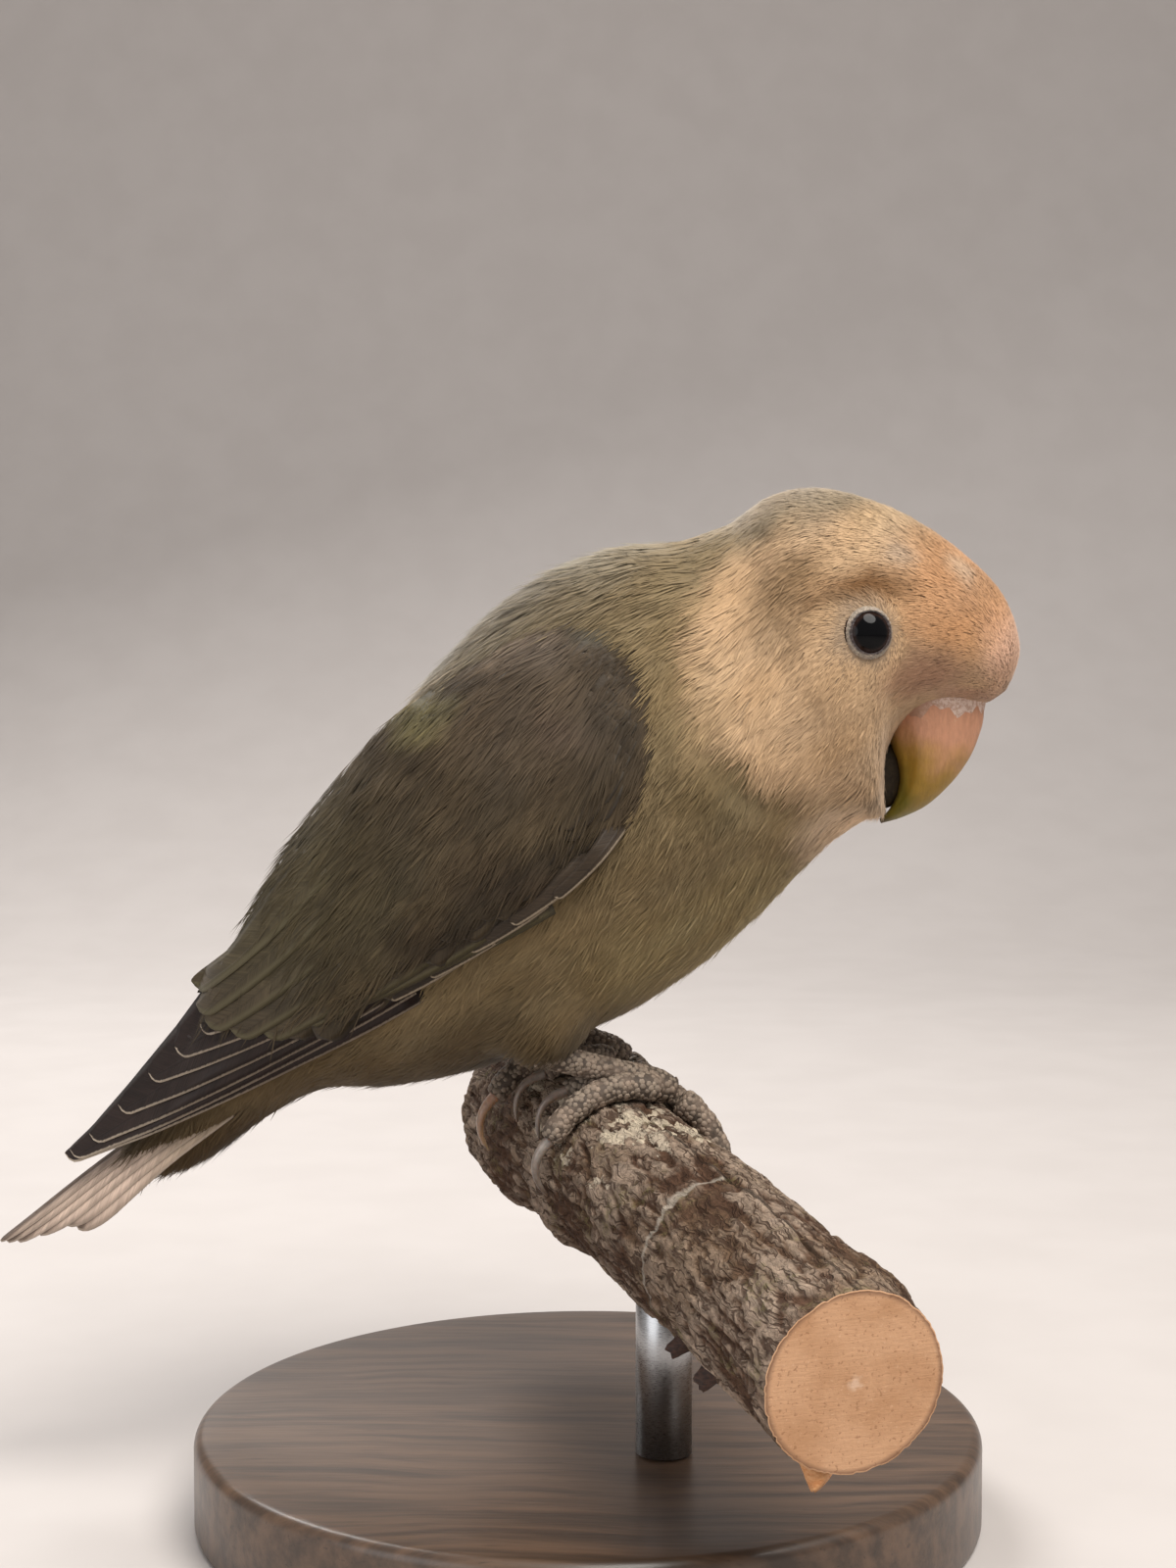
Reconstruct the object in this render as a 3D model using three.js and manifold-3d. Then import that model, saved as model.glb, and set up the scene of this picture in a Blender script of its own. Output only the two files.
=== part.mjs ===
// A lovebird at life size, perched on a short cut branch that a plain display stand holds up.
// Millimetres, +Z up. The bird faces +X and the cut end of the branch points along -Y.
// The origin is the centre of the stand's underside.
import * as THREE from "three";
import { mergeVertices } from "three/addons/utils/BufferGeometryUtils.js";
import Module from "manifold-3d";

const wasm = await Module();
wasm.setup();

// Driving dimensions
const GAP = 0.3; // clear space between pieces that meet
const BIRD_Y = 10; // the bird's middle plane, from the centre of the stand
const BASE_RADIUS = 52;
const BASE_HEIGHT = 12;
const BASE_BEVEL = 1.6;
const ROD_RADIUS = 3.6;
const ROD_IN_BRANCH = 6;
const ROD_Y = -25;
const BODY_RINGS = 33;
const BODY_SIDES = 20;
const HEAD_YAW = THREE.MathUtils.degToRad(8); // the head turns a little to its right
const NECK_X = 14; // where that turn begins
const NECK_BLEND = 16; // and the length over which it builds up
const EYE_RADIUS = 3.9;
const EYE_CENTRE = [37.5, 13.5, 116.2];
const WING_THICKNESS = 2.6;
const WING_SPLIT = 0.2; // half the gap between the two wings over the back
const TOE_RADIUS = 1.85;
const TARSUS_RADIUS = 2.0;
const FOOT_ANGLE = 28; // the foot's joint, in degrees round the branch from its top towards +X

// The trunk, neck and head from tail to face, in the middle plane: the upper edge (x, z), the lower edge
// (x, z) and half the width. The trunk's own rows lie under the folded wings.
const BODY = [
  [-63.4, 47.4, -60.2, 42.0, 3.5],
  [-57.6, 54.6, -51.4, 45.1, 6.4],
  [-52.8, 63.2, -42.2, 50.8, 9.4],
  [-48.2, 73.6, -34.2, 54.1, 13],
  [-42.1, 83.8, -24.2, 54.8, 17],
  [-35.6, 92.4, -13.4, 57.2, 20.4],
  [-29.4, 100.7, -3.4, 60.8, 22.8],
  [-23.2, 108.7, 6.0, 64.8, 24.2],
  [-16.6, 116.0, 13.5, 69.5, 24.6],
  [-9.3, 122.2, 19.6, 74.2, 24.4],
  [-1.3, 126.5, 25.0, 79.2, 23.4],
  [6.2, 128.8, 29.8, 84.2, 21.6],
  [13.3, 129.9, 33.8, 88.0, 19.6],
  [19.2, 132.0, 36.6, 90.4, 18.2],
  [25.2, 135.3, 38.6, 92.6, 17.6],
  [31.1, 136.1, 39.4, 95.2, 17],
  [37.8, 134.6, 39.8, 98.6, 16],
  [44.4, 131.6, 40.6, 102.2, 14.6],
  [51.1, 126.8, 43.0, 104.7, 12.6],
  [55.9, 121.5, 46.6, 105.8, 10],
  [58.0, 114.8, 50.4, 106.4, 7],
  [56.6, 109.2, 53.4, 106.9, 3],
];
// Where the body is parted, as places along that list of rows
const RUMP_AT = 3.4;
const NECK_AT = 11.4;
const HEAD_AT = 13.6;

// The upper bill: its outer ridge (x, z), its inner edge (x, z) and half its width, from the face to the tip
const UPPER_BILL = [
  [53.6, 107.4, 41.0, 107.0, 5.4],
  [53.2, 105.2, 40.4, 104.2, 5.4],
  [52.5, 102.4, 40.7, 101.8, 5.1],
  [51.3, 99.6, 41.5, 99.4, 4.7],
  [49.0, 96.4, 41.9, 96.8, 3.9],
  [45.8, 93.4, 41.6, 94.6, 2.8],
  [42.4, 91.7, 40.7, 92.7, 1.6],
  [39.7, 90.9, 39.5, 91.5, 0.5],
];
// The lower bill: its upper edge, its lower edge and half its width, from the chin forwards
const LOWER_BILL = [
  [34.6, 101.4, 33.6, 94.2, 4.0],
  [38.4, 100.6, 37.6, 93.8, 3.9],
  [40.2, 99.6, 40.0, 94.4, 3.3],
  [41.0, 98.0, 41.0, 95.8, 2.2],
];

// The folded wing's outline in the side view: the coverts and inner flight feathers that lie on the trunk
const WING_OUTLINE = [
  [3.6, 150], [3.8, 118.6], [6.4, 116.2], [8.4, 111.6], [9.2, 104.6], [8.3, 98.4], [6.6, 92.4], [3.4, 87.0],
  [-1.4, 82.4],
  [-8.4, 77.9], [-15.8, 73.2], [-22.6, 69.9], [-26.0, 72.4], [-31.2, 71.6], [-35.2, 68.0], [-39.8, 65.8],
  [-44.0, 64.6], [-48.8, 66.2], [-54.2, 66.4], [-62.0, 78.0], [-62.0, 150],
];
// The edge of the right wing against the mantle, in the top view (x, y), from the shoulder to the mid back
const MANTLE_EDGE = [
  [12, -18.6], [4, -17], [-5, -13.4], [-14, -8.8], [-22, -5], [-28, -2.2], [-33, -WING_SPLIT],
  [-80, -WING_SPLIT],
];
// The line in that outline that parts the small coverts from the large inner feathers
const COVERT_EDGE = [[-60, 90], [-47, 82], [-36, 76.5], [-27, 75.2], [-18, 60]];
// The long outer flight feathers past them: upper edge (x, z), lower edge (x, z), thickness
const PRIMARIES = [
  [-26.6, 71.9, -23.6, 69.4, 2.2],
  [-36.4, 67.0, -30.6, 65.0, 2.2],
  [-45.6, 63.8, -38.4, 60.2, 2.0],
  [-54.2, 65.4, -48.6, 55.0, 1.8],
  [-60.2, 59.6, -57.0, 51.1, 1.5],
  [-66.0, 52.9, -63.6, 47.9, 1.1],
  [-70.7, 46.9, -69.6, 44.9, 0.8],
];
const PRIMARY_CLEARANCE = 1.5; // from the trunk to the middle of the feathers
const PRIMARY_LEAST_Y = 2.2;

// The tail: a low arch across. Middle line (x, z), half the width and thickness
const TAIL = [
  [-50.0, 54.2, 5.6, 5.0],
  [-58.0, 48.8, 7.2, 4.2],
  [-66.0, 43.2, 8.6, 3.2],
  [-73.0, 38.0, 9.4, 2.2],
  [-77.4, 34.6, 8.2, 1.6],
  [-80.2, 32.4, 4.8, 1.0],
];
const TAIL_ARCH = 3.2;

// The branch: middle line (x, y, z) and radius, from the cut end at the front to the far end
const BRANCH = [
  [27.8, -78.2, 37.6, 10.4],
  [20.6, -56.0, 40.3, 10.6],
  [12.6, -33.6, 42.5, 10.7],
  [5.2, -11.7, 44.2, 10.8],
  [-1.2, 8.0, 45.2, 11.2],
  [-7.6, 27.6, 46.1, 11.6],
];
const BRANCH_SIDES = 18;
const BRANCH_RINGS = 20;
// Swellings of the bark: place along the branch (0 to 1), degrees round it from its top, height and spread
const KNOTS = [
  [0.1, 62, 1.3, 5],
  [0.66, 210, 1.3, 6],
  [0.86, 235, 1.4, 7],
  [0.52, 80, 0.8, 6],
];
// Broken twig stubs under the branch: place along it, degrees round it, radius and how far each stands out
const STUBS = [
  [0.235, 236, 1.7, 2.2],
  [0.17, 232, 1.9, 2.4],
];
// The splinter left under the saw cut, from its root in the wood to its point
const SPLINTER = [[25.4, -75.4, 33], [24.9, -76.6, 29.4], [24.1, -77.6, 26.5]];

// The toes of a right foot: degrees round the branch and y from the foot's middle, where they start and end
const TOES = {
  inner_front: { start: [36, 1.6], end: [94, 4.2], size: 0.92 },
  outer_front: { start: [36, -1.6], end: [112, -4.6], size: 1 },
  outer_rear: { start: [18, -1.9], end: [-60, -2.6], size: 1 },
  inner_rear: { start: [18, 1.8], end: [-30, 4.4], size: 0.86 },
};
// Each side: y of the foot on the branch, ankle and thigh
const LEGS = {
  right: { hand: -1, footY: -9.6, ankle: [-4.4, -12.4, 60.6], thigh: [-5.2, -12.6, 66.6] },
  left: { hand: 1, footY: 8.6, ankle: [-9.0, 12.4, 62.6], thigh: [-9.8, 12.8, 68.8] },
};
const THIGH_RADII = [8.2, 8.0, 10.2];

// The finishes
const material = (color, roughness, metalness = 0) =>
  new THREE.MeshStandardMaterial({ color, roughness, metalness });
const FINISH = {
  breast: material(0xa89f80, 0.85),
  head: material(0xc4a884, 0.85),
  wing: material(0x5f574c, 0.75),
  wingGreen: material(0x6c6a55, 0.75),
  flight: material(0x241f22, 0.6),
  tail: material(0xc9b6a4, 0.75),
  bill: material(0xd99a78, 0.4),
  billLow: material(0x9a8a4a, 0.45),
  eye: material(0x0b0a0c, 0.08),
  foot: material(0x8f8984, 0.7),
  claw: material(0x9c837a, 0.4),
  bark: material(0x6f6258, 0.9),
  base: material(0x3a2c24, 0.5),
  rod: material(0x5c5d60, 0.35, 0.9),
};

const root = new THREE.Group();
const bird = new THREE.Group();
bird.position.y = BIRD_Y;
root.add(bird);

// Solids and their joining

// A closed three.js geometry as a solid that can be joined and cut.
function solidOf(geometry) {
  const bare = geometry.clone();
  bare.deleteAttribute("normal");
  bare.deleteAttribute("uv");
  const merged = mergeVertices(bare, 1e-3);
  const mesh = (flip) => {
    const triVerts = new Uint32Array(merged.index.array);
    if (flip) {
      for (let i = 0; i < triVerts.length; i += 3) {
        [triVerts[i + 1], triVerts[i + 2]] = [triVerts[i + 2], triVerts[i + 1]];
      }
    }
    return new wasm.Mesh({ numProp: 3, vertProperties: merged.attributes.position.array, triVerts });
  };
  const made = new wasm.Manifold(mesh(false));
  return made.volume() < 0 ? new wasm.Manifold(mesh(true)) : made;
}

// The largest of the bodies that a cut leaves, without the crumbs.
function largest(solid) {
  return solid.decompose().reduce((a, b) => (b.volume() > a.volume() ? b : a));
}

function geometryOf(solid) {
  const { numProp, numVert, vertProperties, triVerts } = solid.getMesh();
  const points = new Float32Array(numVert * 3);
  for (let i = 0; i < numVert; i++) {
    points.set(vertProperties.subarray(i * numProp, i * numProp + 3), i * 3);
  }
  const geometry = new THREE.BufferGeometry();
  geometry.setAttribute("position", new THREE.BufferAttribute(points, 3));
  geometry.setIndex(new THREE.BufferAttribute(new Uint32Array(triVerts), 1));
  geometry.computeVertexNormals();
  return geometry;
}

function addPiece(parent, name, solid, finish) {
  const mesh = new THREE.Mesh(geometryOf(largest(solid)), finish);
  mesh.name = name;
  parent.add(mesh);
}

// A closed skin over rings of points, each ring with as many points as the others.
function loft(rings) {
  const sides = rings[0].length;
  const middle = (ring) =>
    ring.reduce((sum, p) => sum.add(p), new THREE.Vector3()).divideScalar(sides);
  const points = [...rings.flat(), middle(rings[0]), middle(rings.at(-1))];
  const first = rings.length * sides;
  const last = first + 1;
  const index = [];
  for (let r = 0; r < rings.length - 1; r++) {
    for (let s = 0; s < sides; s++) {
      const next = (s + 1) % sides;
      const [a, b] = [r * sides + s, r * sides + next];
      index.push(a, b, a + sides, b, b + sides, a + sides);
    }
  }
  for (let s = 0; s < sides; s++) {
    const next = (s + 1) % sides;
    const end = (rings.length - 1) * sides;
    index.push(first, next, s, last, end + s, end + next);
  }
  const geometry = new THREE.BufferGeometry().setFromPoints(points);
  geometry.setIndex(index);
  return solidOf(geometry);
}

// A flat outline in the side view, drawn through from y = from to y = to.
function prism(outline, from, to) {
  const shape = new THREE.Shape(outline.map(([x, z]) => new THREE.Vector2(x, z)));
  const geometry = new THREE.ExtrudeGeometry(shape, { depth: to - from, bevelEnabled: false });
  geometry.rotateX(Math.PI / 2);
  geometry.translate(0, to, 0);
  return solidOf(geometry);
}

// The same with its outline grown a little, by drawing it again at small offsets.
function grownPrism(outline, from, to) {
  return [[GAP, 0], [-GAP, 0], [0, GAP], [0, -GAP]]
    .map(([dx, dz]) => prism(outline.map(([x, z]) => [x + dx, z + dz]), from, to))
    .reduce((a, b) => a.add(b));
}

// What lies outside the mantle on one side, as far as the wing can reach.
function besideMantle(hand) {
  const outline = [...MANTLE_EDGE, [-80, -60], [12, -60]].map(([x, y]) => new THREE.Vector2(x, hand * -y));
  const block = new THREE.ExtrudeGeometry(new THREE.Shape(outline), { depth: 200, bevelEnabled: false });
  return solidOf(block);
}

// Rows of numbers read at a place between them, on a smooth curve through the rows.
function between(rows, place) {
  const i = Math.min(Math.max(Math.floor(place), 0), rows.length - 2);
  const t = place - i;
  const row = (k) => rows[Math.min(Math.max(k, 0), rows.length - 1)];
  return row(i).map((_, k) => {
    const [a, b, c, d] = [row(i - 1)[k], row(i)[k], row(i + 1)[k], row(i + 2)[k]];
    return b + 0.5 * t * (c - a + t * (2 * a - 5 * b + 4 * c - d + t * (3 * (b - c) + d - a)));
  });
}

// The body

// Turns a point with the head, by its distance in front of the neck.
function turned(point) {
  const share = THREE.MathUtils.smoothstep(point.x, NECK_X, NECK_X + NECK_BLEND);
  const yaw = -HEAD_YAW * share;
  const [dx, dy] = [point.x - NECK_X, point.y];
  return new THREE.Vector3(
    NECK_X + dx * Math.cos(yaw) - dy * Math.sin(yaw),
    dx * Math.sin(yaw) + dy * Math.cos(yaw),
    point.z,
  );
}

// One ring round the body, grown outwards by the given distance.
function bodyRing(place, grow, sides) {
  const [xTop, zTop, xLow, zLow, half] = between(BODY, place);
  const centre = new THREE.Vector3((xTop + xLow) / 2, 0, (zTop + zLow) / 2);
  const up = new THREE.Vector3((xTop - xLow) / 2, 0, (zTop - zLow) / 2);
  up.setLength(up.length() + grow);
  const ring = [];
  for (let s = 0; s < sides; s++) {
    const a = (s / sides) * 2 * Math.PI;
    const full = (half + grow) * (1 - 0.06 * Math.sin(a));
    const y = Math.sign(Math.cos(a)) * Math.abs(Math.cos(a)) ** 0.94 * full;
    ring.push(turned(centre.clone().addScaledVector(up, Math.sin(a)).add(new THREE.Vector3(0, y, 0))));
  }
  return ring;
}

function bodyLoft(grow, from = 0, to = BODY.length - 1, rings = BODY_RINGS) {
  const list = [];
  for (let i = 0; i <= rings; i++) {
    const place = from + ((to - from) * i) / rings;
    list.push(bodyRing(place, typeof grow === "function" ? grow(place) : grow, BODY_SIDES));
  }
  return loft(list);
}

// How far the body reaches sideways at a point of the side view, or 0 outside its outline.
function bodyHalfWidth(x, z) {
  let best = 0;
  for (let place = 0; place <= BODY.length - 1; place += 0.05) {
    const [xTop, zTop, xLow, zLow, half] = between(BODY, place);
    const up = new THREE.Vector2((xTop - xLow) / 2, (zTop - zLow) / 2);
    const from = new THREE.Vector2(x - (xTop + xLow) / 2, z - (zTop + zLow) / 2);
    const offLine = Math.abs(up.x * from.y - up.y * from.x) / up.length();
    const height = from.dot(up) / up.lengthSq();
    if (offLine < 0.5 && Math.abs(height) < 1) best = Math.max(best, half * Math.sqrt(1 - height * height));
  }
  return best;
}

// A thin slab on the section at a place along the body, to part it there.
function parting(place) {
  const [xTop, zTop, xLow, zLow] = between(BODY, place);
  const slab = new THREE.BoxGeometry(GAP, 120, 120);
  slab.rotateY(Math.atan2(xTop - xLow, zTop - zLow));
  slab.translate((xTop + xLow) / 2, 0, (zTop + zLow) / 2);
  return solidOf(slab);
}

// One side of that section: everything nearer the tail, or nearer the face.
function half(place, towardsFace) {
  const [xTop, zTop, xLow, zLow] = between(BODY, place);
  const reach = 200;
  const block = new THREE.BoxGeometry(reach, reach, reach);
  block.translate(((towardsFace ? 1 : -1) * reach) / 2, 0, 0);
  block.rotateY(Math.atan2(xTop - xLow, zTop - zLow));
  block.translate((xTop + xLow) / 2, 0, (zTop + zLow) / 2);
  return solidOf(block);
}

// The bill, and the eyes

// A bill from rows of upper edge, lower edge and half width. Its ridge is narrower than its base.
function billLoft(rows, grow, ridge, sides = 14) {
  const rings = rows.map(([xTop, zTop, xLow, zLow, wide]) => {
    const centre = new THREE.Vector3((xTop + xLow) / 2, 0, (zTop + zLow) / 2);
    const up = new THREE.Vector3((xTop - xLow) / 2, 0, (zTop - zLow) / 2);
    up.setLength(up.length() + grow);
    return Array.from({ length: sides }, (_, s) => {
      const a = (s / sides) * 2 * Math.PI;
      const y = Math.cos(a) * (wide + grow) * (1 - ridge * Math.sin(a));
      return turned(centre.clone().addScaledVector(up, Math.sin(a)).add(new THREE.Vector3(0, y, 0)));
    });
  });
  return loft(rings);
}

function eyeball(hand, grow) {
  const [x, y, z] = EYE_CENTRE;
  const centre = turned(new THREE.Vector3(x, hand * y, z));
  const ball = new THREE.SphereGeometry(EYE_RADIUS + grow, 14, 9);
  ball.translate(centre.x, centre.y, centre.z);
  return solidOf(ball);
}

// The wings and tail

// The long flight feathers of one folded wing, as one thin blade that stands off the trunk.
function primaryBlade(hand) {
  const across = [0, 0.25, 0.5, 0.75, 1];
  const rings = PRIMARIES.map(([xTop, zTop, xLow, zLow, thick]) => {
    const line = across.map((t) => {
      const [x, z] = [xTop + (xLow - xTop) * t, zTop + (zLow - zTop) * t];
      const y = Math.max(bodyHalfWidth(x, z) + PRIMARY_CLEARANCE, PRIMARY_LEAST_Y + 4 * t);
      return { x, y, z, thick: thick * (0.5 + 0.5 * Math.sin(Math.PI * (0.15 + 0.7 * t))) };
    });
    const side = (p, out) => new THREE.Vector3(p.x, hand * (p.y + (out * p.thick) / 2), p.z);
    return [...line.map((p) => side(p, 1)), ...line.reverse().map((p) => side(p, -1))];
  });
  return loft(rings);
}

// The tail feathers together, a low arch across the middle plane, grown by the given distance.
function tailFan(grow) {
  const steps = [-1, -0.75, -0.5, -0.25, 0, 0.25, 0.5, 0.75, 1];
  const rings = TAIL.map(([x, z, wide, thick]) => {
    const deep = (t) => (thick * (1 - 0.5 * t * t)) / 2 + grow;
    const at = (t, up) => new THREE.Vector3(x, t * (wide + grow), z - TAIL_ARCH * t * t + up * deep(t));
    return [...steps.map((t) => at(t, 1)), ...steps.toReversed().map((t) => at(t, -1))];
  });
  return loft(rings);
}

// The branch and the feet

function branchAt(share) {
  const [x, y, z, radius] = between(BRANCH, share * (BRANCH.length - 1));
  return { centre: new THREE.Vector3(x, y, z), radius };
}

// The share of the branch's length at which its middle line crosses a given y.
function branchShare(y) {
  let [low, high] = [0, 1];
  for (let i = 0; i < 24; i++) {
    const mid = (low + high) / 2;
    if (branchAt(mid).centre.y < y) low = mid;
    else high = mid;
  }
  return (low + high) / 2;
}

// The bark's distance from the middle line, with the knots on it.
function barkRadius(share, degrees) {
  const length = 112;
  const { radius } = branchAt(share);
  return KNOTS.reduce((r, [at, round, high, spread]) => {
    const turn = ((degrees - round + 540) % 360) - 180;
    const away = Math.hypot((share - at) * length, THREE.MathUtils.degToRad(turn) * radius);
    return r + high * Math.exp(-((away / spread) ** 2));
  }, radius);
}

// A point round the branch at a share of its length: degrees from its top towards +X, and the height over
// its middle line.
function round(share, degrees, height) {
  const { centre } = branchAt(share);
  const along = branchAt(Math.min(share + 0.01, 1)).centre.sub(branchAt(Math.max(share - 0.01, 0)).centre);
  const side = new THREE.Vector3(0, 0, 1).cross(along).normalize().negate();
  const up = side.clone().cross(along.normalize());
  const a = THREE.MathUtils.degToRad(degrees);
  return centre.clone().addScaledVector(side, height * Math.sin(a)).addScaledVector(up, height * Math.cos(a));
}

function branchLoft(grow) {
  const rings = [];
  for (let i = 0; i <= BRANCH_RINGS; i++) {
    const share = i / BRANCH_RINGS;
    rings.push(
      Array.from({ length: BRANCH_SIDES }, (_, s) => {
        const degrees = (s / BRANCH_SIDES) * 360;
        return round(share, degrees, barkRadius(share, degrees) + grow);
      }),
    );
  }
  return loft(rings);
}

// A stub of a twig, from inside the branch outwards.
function stub([share, degrees, radius, out]) {
  const high = barkRadius(share, degrees);
  const reach = [high - 4, high, high + out];
  return limb(reach.map((height) => round(share, degrees, height)), [radius, radius, radius * 0.8]);
}

// A round limb along points, each with its own radius.
function limb(points, radii, sides = 8) {
  const rings = points.map((p, i) => {
    const [before, after] = [points[Math.max(i - 1, 0)], points[Math.min(i + 1, points.length - 1)]];
    const along = after.clone().sub(before).normalize();
    const side = new THREE.Vector3(0, 1, 0).cross(along).normalize();
    const up = along.clone().cross(side).normalize();
    return Array.from({ length: sides }, (_, s) => {
      const a = (s / sides) * 2 * Math.PI;
      const [across, over] = [radii[i] * Math.cos(a), radii[i] * Math.sin(a)];
      return p.clone().addScaledVector(side, across).addScaledVector(up, over);
    });
  });
  return loft(rings);
}

// A toe laid round the branch, with a swelling at each of its pads.
function toe(leg, { start, end, size }) {
  const steps = 9;
  const [points, radii] = [[], []];
  for (let i = 0; i <= steps; i++) {
    const t = i / steps;
    const degrees = start[0] + (end[0] - start[0]) * t;
    const y = leg.footY - leg.hand * (start[1] + (end[1] - start[1]) * t);
    const radius = TOE_RADIUS * size * (0.9 + 0.1 * Math.abs(Math.cos(t * 3 * Math.PI)) - 0.12 * t);
    const share = branchShare(y);
    points.push(round(share, degrees, barkRadius(share, degrees) + TOE_RADIUS * size + GAP));
    radii.push(radius);
  }
  return limb(points, radii, 7);
}

// The claw that goes on from the toe's end and curves back to the bark.
function claw(leg, { start, end, size }) {
  const steps = 5;
  const way = Math.sign(end[0] - start[0]);
  const y = leg.footY - leg.hand * end[1];
  const [points, radii] = [[], []];
  for (let i = 0; i <= steps; i++) {
    const t = i / steps;
    const degrees = end[0] + way * (2.6 + 30 * t);
    const height = TOE_RADIUS * size + 0.9 * Math.sin(Math.PI * t) - 0.9 * t + GAP;
    points.push(round(branchShare(y), degrees, barkRadius(branchShare(y), degrees) + height));
    radii.push(0.25 + 0.85 * size * (1 - t) ** 0.8);
  }
  return limb(points, radii, 5);
}

// The joint of the foot on the branch, from which the four toes part.
function footJoint(leg) {
  const share = branchShare(leg.footY);
  return round(share, FOOT_ANGLE, barkRadius(share, FOOT_ANGLE) + TARSUS_RADIUS + GAP);
}

function tarsus(leg, grow) {
  const ankle = new THREE.Vector3(...leg.ankle);
  const joint = footJoint(leg);
  const shares = [-0.15, 0.2, 0.55, 0.85, 1.08];
  const swell = [0.9, 0.85, 0.9, 1.15, 0.9];
  const points = shares.map((t) => ankle.clone().lerp(joint, t));
  return limb(points, swell.map((s) => TARSUS_RADIUS * s + grow), 10);
}

function thigh(leg, grow) {
  const ball = new THREE.SphereGeometry(1, 14, 9);
  ball.scale(...THIGH_RADII.map((r) => r + grow));
  ball.rotateY(THREE.MathUtils.degToRad(-12));
  ball.translate(...leg.thigh);
  return solidOf(ball);
}

// Building the bird

const sides = Object.entries(LEGS);
const splinter = limb(SPLINTER.map((p) => new THREE.Vector3(...p)), [2.8, 2.2, 0.4], 6);
const branch = [...STUBS.map(stub), splinter].reduce((a, b) => a.add(b), branchLoft(0));
const branchGrown = branchLoft(GAP);
const trunkGrown = bodyLoft(GAP);
const billGrown = billLoft(UPPER_BILL, GAP, 0.28).add(billLoft(LOWER_BILL, GAP, -0.2));
const tarsiGrown = sides.map(([, leg]) => tarsus(leg, GAP)).reduce((a, b) => a.add(b));
const thighsGrown = sides.map(([, leg]) => thigh(leg, GAP)).reduce((a, b) => a.add(b));
const eyesGrown = eyeball(-1, GAP).add(eyeball(1, GAP));

const body = bodyLoft(0)
  .subtract(thighsGrown)
  .subtract(billGrown)
  .subtract(eyesGrown)
  .subtract(branchGrown)
  .subtract([RUMP_AT, NECK_AT, HEAD_AT].map(parting).reduce((a, b) => a.add(b)));
addPiece(bird, "rump", body.intersect(half(RUMP_AT, false)), FINISH.breast);
addPiece(bird, "trunk", body.intersect(half(RUMP_AT, true)).intersect(half(NECK_AT, false)), FINISH.breast);
addPiece(bird, "neck", body.intersect(half(NECK_AT, true)).intersect(half(HEAD_AT, false)), FINISH.head);
addPiece(bird, "head", body.intersect(half(HEAD_AT, true)), FINISH.head);

const upperBillGrown = billLoft(UPPER_BILL, GAP, 0.28);
addPiece(bird, "bill_upper", billLoft(UPPER_BILL, 0, 0.28), FINISH.bill);
addPiece(bird, "bill_lower", billLoft(LOWER_BILL, 0, -0.2).subtract(upperBillGrown), FINISH.billLow);

addPiece(bird, "tail", tailFan(0).subtract(trunkGrown), FINISH.tail);

// Each wing is what stands between the trunk and a grown copy of it, inside the wing's outline.
const wingOuter = bodyLoft((place) => WING_THICKNESS - 1.4 * THREE.MathUtils.smoothstep(place, 8, 12.5));
const covertSide = [...COVERT_EDGE, [40, 60], [40, 160], [-60, 160]];
const covertLow = COVERT_EDGE.map(([x, z]) => [x - 0.12, z - GAP]);
const innerSide = [...covertLow, [-18, 40], [-80, 40], [-80, 90 - GAP]];
for (const [side, { hand }] of sides) {
  const [near, far] = hand < 0 ? [-60, -WING_SPLIT] : [WING_SPLIT, 60];
  const inside = prism(WING_OUTLINE, near, far).intersect(besideMantle(hand));
  const shell = wingOuter.subtract(trunkGrown).intersect(inside).subtract(thighsGrown);
  const coverts = shell.intersect(prism(covertSide, near, far));
  const inner = shell.intersect(prism(innerSide, near, far));
  const blade = primaryBlade(hand).subtract(trunkGrown).subtract(tailFan(GAP));
  const primaries = blade.subtract(grownPrism(WING_OUTLINE, near, far));
  addPiece(bird, `wing_${side}_coverts`, coverts, FINISH.wing);
  addPiece(bird, `wing_${side}_inner_feathers`, inner, FINISH.wingGreen);
  addPiece(bird, `wing_${side}_primaries`, primaries, FINISH.flight);
}

for (const [side, leg] of sides) {
  addPiece(bird, `eye_${side}`, eyeball(leg.hand, 0), FINISH.eye);
  addPiece(bird, `thigh_${side}`, thigh(leg, 0).subtract(tarsiGrown).subtract(branchGrown), FINISH.breast);
  addPiece(bird, `tarsus_${side}`, tarsus(leg, 0).subtract(branchGrown), FINISH.foot);
  const clear = tarsus(leg, GAP);
  for (const [name, shape] of Object.entries(TOES)) {
    const digit = toe(leg, shape).subtract(clear).subtract(branchGrown).subtract(thighsGrown);
    addPiece(bird, `toe_${side}_${name}`, digit, FINISH.foot);
    addPiece(bird, `claw_${side}_${name}`, claw(leg, shape).subtract(branchGrown), FINISH.claw);
  }
}

// The branch and its stand

const rodFoot = branchAt(branchShare(ROD_Y)).centre;
const rodTop = rodFoot.z - branchAt(branchShare(ROD_Y)).radius + ROD_IN_BRANCH;

function rod(grow) {
  const low = BASE_HEIGHT + GAP - grow;
  const high = rodTop + grow;
  const shape = new THREE.CylinderGeometry(ROD_RADIUS + grow, ROD_RADIUS + grow, high - low, 20);
  shape.rotateX(Math.PI / 2);
  shape.translate(rodFoot.x, ROD_Y, (low + high) / 2);
  return solidOf(shape);
}

addPiece(bird, "perch_branch", branch.subtract(rod(GAP)), FINISH.bark);
addPiece(bird, "stand_rod", rod(0), FINISH.rod);

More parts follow.
